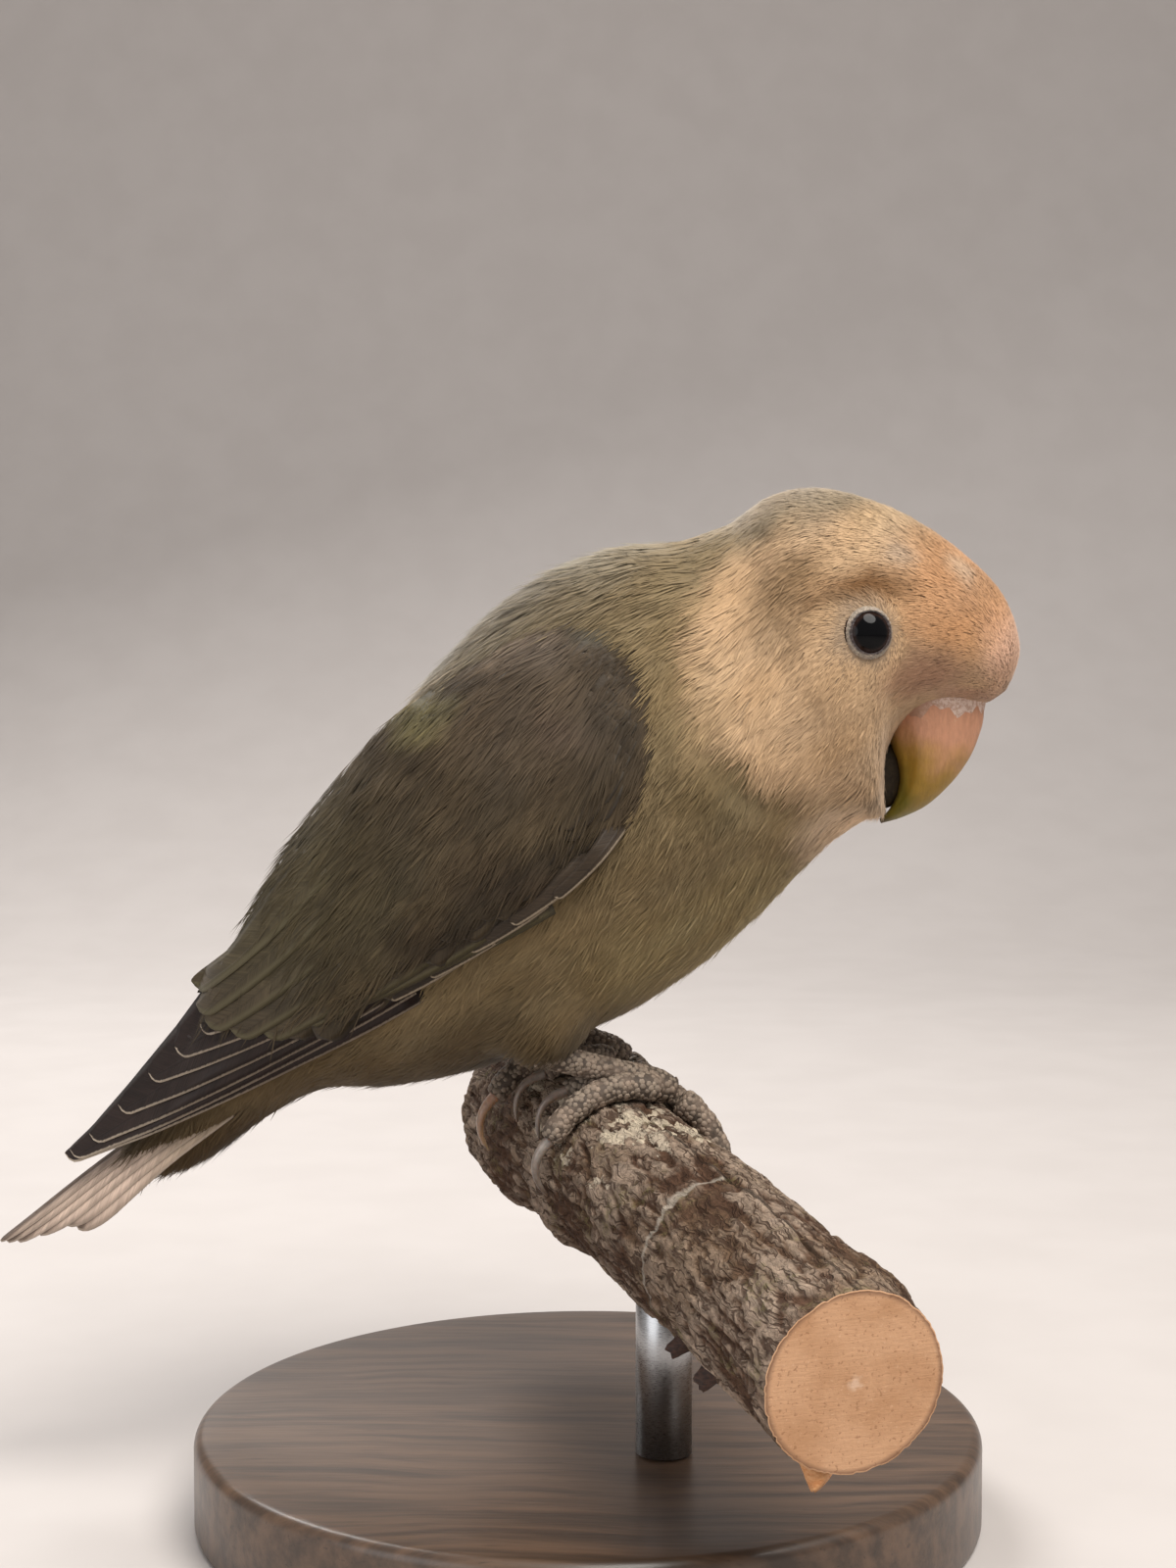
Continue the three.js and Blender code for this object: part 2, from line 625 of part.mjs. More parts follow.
const baseProfile = [
  [0, 0],
  [BASE_RADIUS - BASE_BEVEL / 2, 0],
  [BASE_RADIUS, BASE_BEVEL / 2],
  [BASE_RADIUS, BASE_HEIGHT - BASE_BEVEL],
  [BASE_RADIUS - BASE_BEVEL, BASE_HEIGHT],
  [0, BASE_HEIGHT],
].map(([r, z]) => new THREE.Vector2(r, z));
const baseShape = new THREE.LatheGeometry(baseProfile, 48);
baseShape.rotateX(Math.PI / 2);
addPiece(root, "stand_base", solidOf(baseShape), FINISH.base);

export default root;
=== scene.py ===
import math

import bpy
import numpy as np
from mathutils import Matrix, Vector, noise


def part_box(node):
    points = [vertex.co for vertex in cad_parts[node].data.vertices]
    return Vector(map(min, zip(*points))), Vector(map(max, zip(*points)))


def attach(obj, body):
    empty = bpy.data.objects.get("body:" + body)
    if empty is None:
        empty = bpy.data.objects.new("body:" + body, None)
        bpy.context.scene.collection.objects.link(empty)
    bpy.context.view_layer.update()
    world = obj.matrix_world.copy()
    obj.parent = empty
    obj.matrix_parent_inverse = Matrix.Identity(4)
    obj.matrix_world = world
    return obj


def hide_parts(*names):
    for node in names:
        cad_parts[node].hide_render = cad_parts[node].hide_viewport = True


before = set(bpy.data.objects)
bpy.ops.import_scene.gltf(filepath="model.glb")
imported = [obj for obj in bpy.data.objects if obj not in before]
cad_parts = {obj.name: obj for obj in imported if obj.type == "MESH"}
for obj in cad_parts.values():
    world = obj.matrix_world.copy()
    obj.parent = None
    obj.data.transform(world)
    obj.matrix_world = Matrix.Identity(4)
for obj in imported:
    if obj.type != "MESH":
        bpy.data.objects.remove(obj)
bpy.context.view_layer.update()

# A lovebird on a cut branch. Shapes are worked out in millimetres in the bird's own frame, whose middle
# plane is y = 0, and are moved by BIRD_Y and turned into metres when a piece is made.
MM = 0.001
BIRD_Y = 10.0

# The body's form

# From tail to face in the middle plane: the upper edge (x, z), the lower edge (x, z) and half the width.
BODY = np.array([
    [-63.4, 47.4, -60.2, 42.0, 3.5],
    [-57.6, 54.6, -51.4, 45.1, 6.4],
    [-52.8, 63.2, -42.2, 50.8, 9.4],
    [-48.2, 73.6, -34.2, 54.1, 13],
    [-42.1, 83.8, -24.2, 54.8, 17],
    [-35.6, 92.4, -13.4, 57.2, 20.4],
    [-29.4, 100.7, -3.4, 60.8, 22.8],
    [-23.2, 108.7, 6.0, 64.8, 24.2],
    [-16.6, 116.0, 13.5, 69.5, 24.6],
    [-9.3, 122.2, 19.6, 74.2, 24.4],
    [-1.3, 126.5, 25.0, 79.2, 23.4],
    [6.2, 128.8, 29.8, 84.2, 21.6],
    [13.3, 129.9, 33.8, 88.0, 19.6],
    [19.2, 132.0, 36.6, 90.4, 18.2],
    [25.2, 135.3, 38.6, 92.6, 17.6],
    [31.1, 136.1, 39.4, 95.2, 17],
    [37.8, 134.6, 39.8, 98.6, 16],
    [44.4, 131.6, 40.6, 102.2, 14.6],
    [51.1, 126.8, 43.0, 104.7, 12.6],
    [55.9, 121.5, 46.6, 105.8, 10],
    [58.0, 114.8, 50.4, 106.4, 7],
    [56.6, 109.2, 53.4, 106.9, 3],
])
FACE = len(BODY) - 1
HEAD_YAW = math.radians(8)
NECK_X, NECK_BLEND = 14.0, 16.0
RIGHT = math.pi  # the angle round the body of its right side; the back is at half of it
EYE_CENTRE = np.array([37.5, 13.1, 116.2])
EYE_RADIUS = 3.9
EYE_OPENING = 2.68
THIGHS = {-1: [-5.2, -12.6, 66.6], 1: [-9.8, 12.8, 68.8]}
THIGH_RADII = np.array([8.0, 7.8, 10.2])


def smooth(x, low, high):
    """0 below low, 1 above high, and an easy slope between them."""
    t = np.clip((np.asarray(x, float) - low) / (high - low), 0, 1)
    return t * t * (3 - 2 * t)


def between(rows, place):
    """Rows of numbers read at places between them, on a smooth curve through the rows."""
    rows = np.asarray(rows, float)
    place = np.atleast_1d(np.asarray(place, float))
    low = np.clip(np.floor(place).astype(int), 0, len(rows) - 2)
    t = (place - low)[:, None]
    a, b, c, d = (rows[np.clip(low + k, 0, len(rows) - 1)] for k in (-1, 0, 1, 2))
    return b + 0.5 * t * (c - a + t * (2 * a - 5 * b + 4 * c - d + t * (3 * (b - c) + d - a)))


def unit(v):
    return v / np.maximum(np.linalg.norm(v, axis=-1, keepdims=True), 1e-9)


def bell(x, reach):
    """1 at 0, falling away smoothly to almost nothing at twice the reach."""
    return np.exp(-((x / reach) ** 2))


def round_angles(sides):
    """Angles evenly spaced round a circle."""
    return np.arange(sides) / sides * 2 * math.pi


def halves(row):
    """The middle between the upper and lower edges (x, z), and the way from it up to the upper one."""
    return (row[:, 0:2] + row[:, 2:4]) / 2, (row[:, 0:2] - row[:, 2:4]) / 2


def turned(p):
    """Points turned with the head, by how far they are in front of the neck."""
    yaw = -HEAD_YAW * smooth(p[..., 0], NECK_X, NECK_X + NECK_BLEND)
    dx, dy = p[..., 0] - NECK_X, p[..., 1]
    x = NECK_X + dx * np.cos(yaw) - dy * np.sin(yaw)
    return np.stack([x, dx * np.sin(yaw) + dy * np.cos(yaw), p[..., 2]], -1)


def unturned_body(place, angle, grow=0.0):
    """Points on the body at places along it and angles round it, moved outwards by grow."""
    row = between(BODY, place)
    centre, up = halves(row)
    tall = 1 + grow / np.linalg.norm(up, axis=1)
    c, s = np.cos(angle), np.sin(angle)
    y = np.sign(c) * np.abs(c) ** 0.94 * (row[:, 4] + grow) * (1 - 0.06 * s)
    return np.stack([centre[:, 0] + up[:, 0] * tall * s, y, centre[:, 1] + up[:, 1] * tall * s], 1)


def body(place, angle, grow=0.0):
    return turned(unturned_body(place, angle, grow))


def side_place(x, z, grow=0.0):
    """The place and the angle, on the right-hand side, of points given in the side view."""
    x, z = np.atleast_1d(x).astype(float), np.atleast_1d(z).astype(float)
    places = np.linspace(0, FACE, 900)
    centre, up = halves(between(BODY, places))
    length = np.linalg.norm(up, axis=1)
    dx, dz = x[:, None] - centre[:, 0], z[:, None] - centre[:, 1]
    off = np.abs(up[:, 0] * dz - up[:, 1] * dx) / length
    height = (dx * up[:, 0] + dz * up[:, 1]) / length
    best = np.argmin(off + 50 * np.maximum(np.abs(height) - length - 4, 0), axis=1)
    rows = np.arange(len(x))
    share = np.clip(height[rows, best] / (length[best] + grow), -0.999, 0.999)
    return places[best], RIGHT - np.arcsin(share)


def half_width(x, z):
    """How far the body reaches sideways at points of the side view, and 0 outside it."""
    row = between(BODY, side_place(x, z)[0])
    centre, up = halves(row)
    height = ((x - centre[:, 0]) * up[:, 0] + (z - centre[:, 1]) * up[:, 1]) / (up ** 2).sum(1)
    away = np.hypot(x - centre[:, 0] - height * up[:, 0], z - centre[:, 1] - height * up[:, 1])
    inside = (np.abs(height) < 1) & (away < 1)
    return np.where(inside, row[:, 4] * np.sqrt(np.clip(1 - height ** 2, 0, 1)), 0)


# Making pieces

def bare_mesh(name, points, faces, materials):
    mesh = bpy.data.meshes.new(name)
    mesh.from_pydata(points, [], faces)
    for item in materials:
        mesh.materials.append(item)
    mesh.polygons.foreach_set("use_smooth", [True] * len(mesh.polygons))
    return mesh


def in_scene(name, data):
    """A new object that holds the data."""
    thing = bpy.data.objects.new(name, data)
    bpy.context.scene.collection.objects.link(thing)
    return thing


def in_metres(points):
    """Places in the row frame, in metres, of points in the bird's own frame."""
    return (np.asarray(points, float) + [0, BIRD_Y, 0]) * MM


def make_mesh(name, points, faces, *materials):
    """A piece from points in the bird's own frame. Faces are an array or a list of tuples."""
    faces = [list(map(int, f)) for f in faces]
    return in_scene(name, bare_mesh(name, in_metres(points).tolist(), faces, materials))


def ring_faces(rings, sides):
    """The faces between closed rings of points, without the ends."""
    r, s = np.meshgrid(np.arange(rings - 1), np.arange(sides), indexing="ij")
    a = r * sides + s
    b = r * sides + (s + 1) % sides
    return np.stack([a, b, b + sides, a + sides], -1).reshape(-1, 4).tolist()


def closed_rings(grid):
    """Points and faces of a closed shape over rings (rings, sides, 3), with a pole at both ends."""
    rings, sides = grid.shape[:2]
    points = np.concatenate([grid.reshape(-1, 3), grid[:1].mean(1), grid[-1:].mean(1)])
    faces = ring_faces(rings, sides)
    first, last = rings * sides, rings * sides + 1
    end = (rings - 1) * sides
    for s in range(sides):
        n = (s + 1) % sides
        faces += [(first, n, s), (last, end + s, end + n)]
    return points, facing_out(points, faces)


def volume(points, faces):
    total = 0.0
    for f in faces:
        a = points[f[0]]
        for i in range(1, len(f) - 1):
            total += np.dot(a, np.cross(points[f[i]], points[f[i + 1]]))
    return total


def facing_out(points, faces):
    """The faces, turned round if the shape is inside out."""
    return [tuple(reversed(f)) for f in faces] if volume(points, faces) < 0 else faces


def closed_piece(name, grid, material):
    return make_mesh(name, *closed_rings(grid), material)


def limb(line, radii, sides):
    """Rings of points round a line, with a radius for each of its points."""
    along = unit(np.gradient(line, axis=0))
    side = unit(np.cross([0.0, 1.0, 0.0], along))
    up = np.cross(along, side)
    a = round_angles(sides)[None, :, None]
    return line[:, None] + radii[:, None, None] * (side[:, None] * np.cos(a) + up[:, None] * np.sin(a))


def paint(thing, name, values):
    """Gives each vertex a number or a vector under a name."""
    values = np.asarray(values, float)
    kind, key = ("FLOAT", "value") if values.ndim == 1 else ("FLOAT_VECTOR", "vector")
    layer = thing.data.attributes.new(name, kind, "POINT")
    layer.data.foreach_set(key, values.ravel())


def give_uv(thing, name, per_vertex):
    """A UV map from one pair of numbers for each vertex."""
    layer = thing.data.uv_layers.new(name=name)
    corner = np.zeros(len(thing.data.loops), int)
    thing.data.loops.foreach_get("vertex_index", corner)
    layer.data.foreach_set("uv", np.asarray(per_vertex, float)[corner].ravel())


def settle(thing, slot, *nodes):
    """The piece rides on the bird's one body and stands for the named solids."""
    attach(thing, "root")
    if nodes:
        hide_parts(*nodes)


# Node helpers

def live(sockets, name):
    """The socket of that name which the node's settings leave switched on."""
    return next(s for s in sockets if s.name == name and s.enabled)


def colour(value):
    return value if isinstance(value, bpy.types.NodeSocket) else (*value, 1.0)


class Nodes:
    """Writes a material's or a group's node tree a little at a time."""

    def __init__(self, tree):
        self.tree = tree

    def add(self, kind, inputs=None, **settings):
        node = self.tree.nodes.new(kind)
        for key, value in settings.items():
            setattr(node, key, value)
        for key, value in (inputs or {}).items():
            self.put(node, key, value)
        return node

    def put(self, node, key, value):
        socket = live(node.inputs, key) if isinstance(key, str) else node.inputs[key]
        if isinstance(value, bpy.types.NodeSocket):
            self.tree.links.new(value, socket)
        else:
            socket.default_value = value

    def math(self, operation, a, b=0.0, c=0.0):
        return self.add("ShaderNodeMath", {0: a, 1: b, 2: c}, operation=operation).outputs[0]

    def vector(self, operation, a, b=(0, 0, 0)):
        node = self.add("ShaderNodeVectorMath", {0: a}, operation=operation)
        self.put(node, 3 if operation == "SCALE" else 1, b)
        return node.outputs["Value" if operation == "LENGTH" else "Vector"]

    def slope(self, value, low, high, to_low=0.0, to_high=1.0):
        """A value carried from low..high to 0..1, with an easy start and end."""
        inputs = {"Value": value, "From Min": low, "From Max": high, "To Min": to_low, "To Max": to_high}
        return self.add("ShaderNodeMapRange", inputs, interpolation_type="SMOOTHSTEP").outputs["Result"]

    def mix(self, share, a, b):
        node = self.add("ShaderNodeMix", data_type="RGBA")
        for key, value in ((0, share), (6, colour(a)), (7, colour(b))):
            self.put(node, key, value)
        return node.outputs[2]

    def laid(self, look, tint, value, low, high, to_low=0.0, to_high=1.0):
        """The look with a tint laid over it, more of it the further value is up the slope."""
        return self.mix(self.slope(value, low, high, to_low, to_high), look, tint)

    def shade(self, look, value, dark, light, low=0.3, high=0.7):
        """The look made darker where value is low and lighter where it is high."""
        return self.vector("SCALE", look, self.slope(value, low, high, dark, light))

    def noise(self, where, scale, detail=3.0, rough=0.5, stretch=None):
        if stretch:
            where = self.vector("MULTIPLY", where, stretch)
        inputs = {"Vector": where, "Scale": scale, "Detail": detail, "Roughness": rough}
        return self.add("ShaderNodeTexNoise", inputs).outputs["Fac"]

    def far_from(self, value, middle):
        """How far a value is from the middle one, either way."""
        return self.math("ABSOLUTE", self.math("SUBTRACT", value, middle))

    def attribute(self, name, kind="Fac"):
        return self.add("ShaderNodeAttribute", attribute_name=name).outputs[kind]

    def parts(self, vector):
        """The three numbers of a vector."""
        return self.add("ShaderNodeSeparateXYZ", {0: vector}).outputs

    def joined(self, *numbers):
        """The vector of up to three numbers."""
        return self.add("ShaderNodeCombineXYZ", dict(enumerate(numbers))).outputs[0]

    def place(self):
        """The point's place in the row frame, in millimetres."""
        return self.vector("SCALE", self.add("ShaderNodeTexCoord").outputs["Object"], 1 / MM)

    def grouped(self, tree, place):
        """The colour that a group of markings gives at a place."""
        return self.add("ShaderNodeGroup", {"Place": place}, node_tree=tree).outputs["Colour"]


class Material(Nodes):
    """A material with its shader; single values are set on the shader's own sockets."""

    def __init__(self, name, roughness, **sockets):
        self.item = bpy.data.materials.new(name)
        self.item.use_nodes = True
        self.item.node_tree.nodes.clear()
        super().__init__(self.item.node_tree)
        self.shader = self.add("ShaderNodeBsdfPrincipled", {"Roughness": roughness})
        for key, value in sockets.items():
            self.put(self.shader, key.replace("_", " "), value)
        self.put(self.add("ShaderNodeOutputMaterial"), 0, self.shader.outputs[0])

    def done(self, look, height=None, strength=0.0, distance=0.0):
        """The finished material, with a bump where a height is given, its distance in millimetres."""
        self.put(self.shader, "Base Color", look)
        if height is not None:
            bump = self.add("ShaderNodeBump", {
                "Height": height, "Strength": strength, "Distance": distance * MM})
            self.put(self.shader, "Normal", bump.outputs["Normal"])
        return self.item


class Group(Nodes):
    """A node group: the names and kinds of what goes in, and the name and kind of what comes out."""

    def __init__(self, name, kind, given, result, result_kind):
        super().__init__(bpy.data.node_groups.new(name, kind))
        for label, given_kind in given.items():
            self.socket(label, given_kind, "INPUT")
        self.socket(result, result_kind, "OUTPUT")
        self.given = self.add("NodeGroupInput").outputs

    def socket(self, label, kind, in_out):
        self.tree.interface.new_socket(label, in_out=in_out, socket_type="NodeSocket" + kind)

    def done(self, result):
        self.put(self.add("NodeGroupOutput"), 0, result)
        return self.tree


# Plumage colours

BREAST = (0.205, 0.150, 0.076)
HOOD = (0.455, 0.310, 0.185)

# Where each colour of the body lies, with the head unturned: centre (x, out from the middle, z) and reach in
# mm, how much of the reach is full colour, the colour and its strength. Later ones lie over earlier ones.
# Some of them are partly painted light and shade; each of these is noted where it stands.
BODY_MARKINGS_PAINTED_LIGHT_AND_SHADE = [
    # Darker belly: partly its own colour, partly painted shade of the underside.
    ((-10, 0, 52), (62, 60, 22), 0.25, (0.150, 0.108, 0.055), 1.0),
    # Darker under the tail: partly its own colour, partly painted shade of the underside.
    ((-50, 0, 46), (30, 30, 16), 0.3, (0.080, 0.052, 0.023), 0.95),
    ((22, 0, 80), (20, 34, 16), 0.2, (0.340, 0.265, 0.120), 0.85),
    ((10, 12, 76), (17, 18, 13), 0.3, (0.320, 0.250, 0.122), 0.85),
    # Darker by the vent: partly its own colour, partly painted shade of the underside.
    ((-32, 10, 60), (16, 20, 9), 0.3, (0.100, 0.066, 0.027), 0.8),
    # Darker breast beside the wing: partly its own colour, partly painted shade of the head.
    ((8, 22, 93), (8, 10, 18), 0.3, (0.165, 0.122, 0.063), 0.9),
    # Darker thighs: partly their own colour, partly painted shade under the belly.
    ((-8, 14, 62), (15, 16, 13), 0.3, (0.098, 0.069, 0.034), 0.85),
    ((-16, 0, 124), (36, 26, 16), 0.45, (0.150, 0.124, 0.082), 1.0),
    ((6, 0, 129), (10, 20, 7), 0.2, (0.27, 0.235, 0.17), 0.7),
    ((35, 10, 114), (24.5, 42, 21), 0.74, HOOD, 1.0),
    ((17, 18, 106), (6, 12, 14), 0.1, (0.45, 0.315, 0.175), 0.6),
    # Darker breast below the hood: partly its own colour, partly painted shade of the head.
    ((18, 18, 97), (9, 14, 8), 0.3, (0.135, 0.100, 0.048), 0.85),
    ((28, 0, 136), (18, 17, 12), 0.2, (0.300, 0.242, 0.175), 0.9),
    # Brown band behind and above the eye: partly its own colour, partly painted shade in the crease there.
    ((27, 16, 121), (9, 10, 9), 0.1, (0.25, 0.165, 0.090), 0.8),
    ((30, 14, 125), (7, 8, 4.5), 0.1, (0.19, 0.122, 0.064), 0.7),
    ((42, 6, 131), (9, 12, 5), 0.1, (0.55, 0.390, 0.240), 0.6),
    ((50, 0, 121), (15, 26, 13), 0.42, (0.45, 0.250, 0.128), 1.0),
    ((39, 14, 122.5), (10, 10, 4.6), 0.1, (0.165, 0.078, 0.026), 0.95),
    ((33.4, 16, 121), (5, 8, 2.2), 0.1, (0.17, 0.100, 0.050), 0.75),
    ((57, 4, 113.5), (6, 12, 9), 0.2, (0.72, 0.440, 0.305), 0.8),
    ((51, 7, 125), (2.8, 4, 5), 0.1, (0.50, 0.390, 0.290), 0.6),
    ((44, 12, 127), (4.5, 5, 2.4), 0.1, (0.34, 0.260, 0.190), 0.7),
    ((48, 11, 117), (7, 8, 5), 0.1, (0.56, 0.280, 0.120), 0.5),
    ((46, 11, 110.8), (10, 9, 5.2), 0.1, (0.38, 0.215, 0.135), 0.9),
    ((51.5, 5, 107.6), (8, 9, 2.4), 0.15, (0.42, 0.250, 0.175), 0.8),
    # Pale throat: partly its own colour, partly painted light that takes away the shade under the head.
    ((35, 0, 93), (12, 20, 9), 0.3, (0.70, 0.510, 0.345), 0.95),
    ((37.5, 16, 116.2), (5.0, 12, 5.8), 0.6, (0.36, 0.265, 0.18), 0.7),
]

# The same for the wings, where the distance out doesn't matter.
WING = (0.056, 0.041, 0.0235)
WING_MARKINGS_AND_PAINTED_SHADE = [
    ((-6, 0, 107), (24, 90, 14), 0.2, (0.068, 0.050, 0.033), 0.9),
    ((-40, 0, 82), (28, 90, 20), 0.3, (0.050, 0.039, 0.020), 1.0),
    ((2.5, 0, 117), (7, 90, 4.5), 0.1, (0.088, 0.082, 0.062), 0.8),
    ((-10, 0, 114.5), (14, 90, 5.5), 0.1, (0.135, 0.104, 0.078), 0.85),
    ((-22.5, 0, 106), (8, 90, 6), 0.1, (0.125, 0.106, 0.045), 0.8),
    ((-3.7, 0, 103.5), (5, 90, 5), 0.1, (0.090, 0.064, 0.046), 0.5),
    ((6, 0, 96), (8, 90, 12), 0.1, (0.040, 0.029, 0.018), 0.7),
    # Darker low on the wing, this and the next: partly its own colour, partly painted shade.
    ((-7, 0, 84.5), (15, 90, 6), 0.2, (0.029, 0.020, 0.012), 0.85),
    ((-18, 0, 77), (10, 90, 6.5), 0.2, (0.030, 0.021, 0.012), 0.85),
]


def markings_group(name, base, marks, wander):
    """The base colour with each mark laid over it, its edge wandering by a few millimetres."""
    n = Group(name, "ShaderNodeTree", {"Place": "Vector"}, "Colour", "Color")
    place = n.given["Place"]
    shake = n.add("ShaderNodeTexNoise", {"Vector": place, "Scale": 0.16, "Detail": 3.0}).outputs["Color"]
    where = n.vector("ADD", place, n.vector("SCALE", n.vector("SUBTRACT", shake, (0.5, 0.5, 0.5)), wander))
    look = n.laid(base, tuple(0.84 * c for c in base), n.noise(place, 0.12, 2.0), 0.3, 0.7)
    for centre, reach, full, tint, strength in marks:
        away = n.vector("LENGTH", n.vector("DIVIDE", n.vector("SUBTRACT", where, centre), reach))
        look = n.laid(look, tint, away, full, 1.0, strength, 0.0)
    return n.done(look)


# One group for the skin and every tuft alike, and one for the wings.
PLUMAGE = markings_group("plumage markings", BREAST, BODY_MARKINGS_PAINTED_LIGHT_AND_SHADE, 4.0)
WING_PLUMAGE = markings_group("wing markings", WING, WING_MARKINGS_AND_PAINTED_SHADE, 7.0)


def plumage(n):
    return n.grouped(PLUMAGE, n.attribute("rest_place", "Vector"))


def wing_colour(n):
    return n.grouped(WING_PLUMAGE, n.place())


def tuft_material(name, look_of, low, high, variation, sheen):
    """Soft small feathers: the markings with their painted light and shade, lighter to each tip, no two quite
    alike.
    """
    n = Material(name, 0.75, Sheen_Weight=sheen, Sheen_Roughness=0.5, Specular_IOR_Level=0.2)
    along = n.parts(n.add("ShaderNodeUVMap", uv_map="feather").outputs[0])[0]
    bright = n.math("MULTIPLY_ADD", n.attribute("tone"), variation * 2, 1.0 - variation)
    bright = n.math("MULTIPLY", bright, n.slope(along, 0.0, 1.0, low, high))
    look = n.vector("SCALE", look_of(n), bright)
    warmer = n.vector("MULTIPLY", look, (1.10, 1.0, 0.84))
    return n.done(n.mix(n.math("MULTIPLY", n.attribute("warm"), 0.5), look, warmer))


def under_material(name, look_of):
    """What shows between the feathers: the same markings, with their painted light and shade, on down."""
    n = Material(name, 0.85)
    down = n.noise(n.place(), 1.4, 4.0, 0.6)
    return n.done(n.shade(look_of(n), down, 0.6, 0.9, 0.2, 0.8), down, 0.5, 0.5)


# The skin

SKIN_RINGS, SKIN_SIDES = 200, 132
SKIN_START = 0.12  # the place along the body where the skin closes under the tail
skin_places = np.linspace(SKIN_START, FACE, SKIN_RINGS)
grid_place, grid_angle = (
    g.ravel() for g in np.meshgrid(skin_places, round_angles(SKIN_SIDES), indexing="ij"))
# Where the skin sinks, or swells where the depth is below 0: centre (x, out, z), reach and depth in mm.
HOLLOWS = {
    "lores": ((50.5, 9, 107.8), (9, 9, 4.2), 0.9),
    "gape": ((40.0, 0, 98.5), (5, 12, 6), -2.8),
    "chin": ((40.2, 0, 96.2), (3.4, 9, 3.2), -0.9),
}


def on_grid(values):
    return values.reshape(SKIN_RINGS, SKIN_SIDES, -1)


def coat_depth(place):
    """How deep the skin lies under the feathers' tips."""
    return 0.6 + 0.5 * smooth(place, 0, 3) - 0.55 * smooth(place, 11, 15) - 0.1 * smooth(place, 18, 21)


def folded(points):
    """Points of either side brought to the same side."""
    return points * [1, 0, 1] + np.abs(points) * [0, 1, 0]


def hollow(rest):
    """How far the skin sinks in the fold under the cheek, round the eye and in the hollows above."""
    side = folded(rest)
    hood = np.linalg.norm((side - [35, 10, 114]) / [23, 40, 20], axis=1)
    below = 1 - smooth(rest[:, 2], 100, 118)
    eye = np.linalg.norm((side - EYE_CENTRE) * [1, 0.4, 1], axis=1)
    sunk = (0.15 * bell(hood - 1.10, 0.10) - 0.12 * bell(hood - 0.88, 0.12)) * below + 0.3 * bell(eye, 5.5)
    for centre, reach, depth in HOLLOWS.values():
        sunk = sunk + depth * bell(np.linalg.norm((side - centre) / reach, axis=1), 1)
    return sunk


def thigh_push(points, outward):
    """How far points move out along the given directions to lie on a thigh."""
    push = np.zeros(len(points))
    radii = THIGH_RADII - 2.3
    for centre in THIGHS.values():
        p, d = (points - centre) / radii, outward / radii
        a, b, c = (d * d).sum(1), 2 * (p * d).sum(1), (p * p).sum(1) - 1
        inside = b * b - 4 * a * c
        reach = np.where(inside > 0, (-b + np.sqrt(np.maximum(inside, 0))) / (2 * a), 0)
        push = np.maximum(push, np.clip(reach, 0, 9))
    return push


def grid_normals(grid):
    along = np.gradient(grid, axis=0)
    across = np.roll(grid, -1, 1) - np.roll(grid, 1, 1)
    return unit(np.cross(across, along))


skin_rest = unturned_body(grid_place, grid_angle)
skin = on_grid(body(grid_place, grid_angle, -coat_depth(grid_place) - hollow(skin_rest)))
skin_out = grid_normals(skin)
push = on_grid(thigh_push(skin.reshape(-1, 3), skin_out.reshape(-1, 3)))[..., 0]
for _ in range(16):
    push = (push * 2 + np.roll(push, 1, 1) + np.roll(push, -1, 1)
            + np.roll(push, 1, 0) + np.roll(push, -1, 0)) / 6
skin = skin + skin_out * push[..., None]
skin_out = grid_normals(skin)
lie = -np.gradient(skin, axis=0)
to_belly = (np.roll(skin, -1, 1) - np.roll(skin, 1, 1)) * on_grid(-np.cos(grid_angle))
lie = unit(lie) + unit(to_belly) * on_grid(np.abs(np.cos(grid_angle)) * 0.36)
lie = unit(lie - (lie * skin_out).sum(-1, keepdims=True) * skin_out)

skin_points, skin_faces = closed_rings(skin)
skin_piece = make_mesh("skin", skin_points, skin_faces, under_material("skin under feathers", plumage))
ends = on_grid(folded(skin_rest))
paint(skin_piece, "rest_place", np.concatenate([folded(skin_rest), ends[:1].mean(1), ends[-1:].mean(1)]))


def unwrap(place, angle):
    """A point's place on the skin laid flat."""
    return np.stack([np.asarray(place) / FACE, (np.asarray(angle) / (2 * math.pi)) % 1.0], -1)


give_uv(skin_piece, "OFBake", np.concatenate([unwrap(grid_place, grid_angle), [[0, 0.5], [1, 0.5]]]))
settle(skin_piece, "body_feathers", "rump", "trunk", "neck", "head", "thigh_right", "thigh_left")

# Tufts from one small shape

# Where a tuft is widest, how far its tip bends aside, how high its back stands and how far its tip drops.
TUFT_FORMS = ((0.42, 0.0, 0.3, 0.1), (0.3, 1.1, 0.35, 0.0), (0.52, -1.1, 0.3, 0.2))
TUFT_PATCH = 0.003  # how far a tuft's patch reaches on the unwrapped skin
SOFTNESS = 0.72  # how far a tuft's shading follows the body's own surface


def tuft_shape(name, middle, aside, rise, drop, material):
    """A closed thin leaf of six triangles, 1 long and 1 wide, its tip bent aside and dropped."""
    bent = aside * 0.3
    points = np.array([(0, 0, 0), (middle, -0.5 + bent, 0), (middle, 0.5 + bent, 0),
                       (middle, bent, rise), (1, aside, -drop)])
    faces = facing_out(points, [(0, 2, 3), (0, 3, 1), (1, 3, 4), (3, 2, 4), (0, 1, 4, 2)])
    thing = bpy.data.objects.new(name, bare_mesh(name, points.tolist(), faces, [material]))
    give_uv(thing, "feather", [(0, 0.5), (middle, 0), (middle, 1), (middle, 0.5), (1, 0.5)])
    return thing


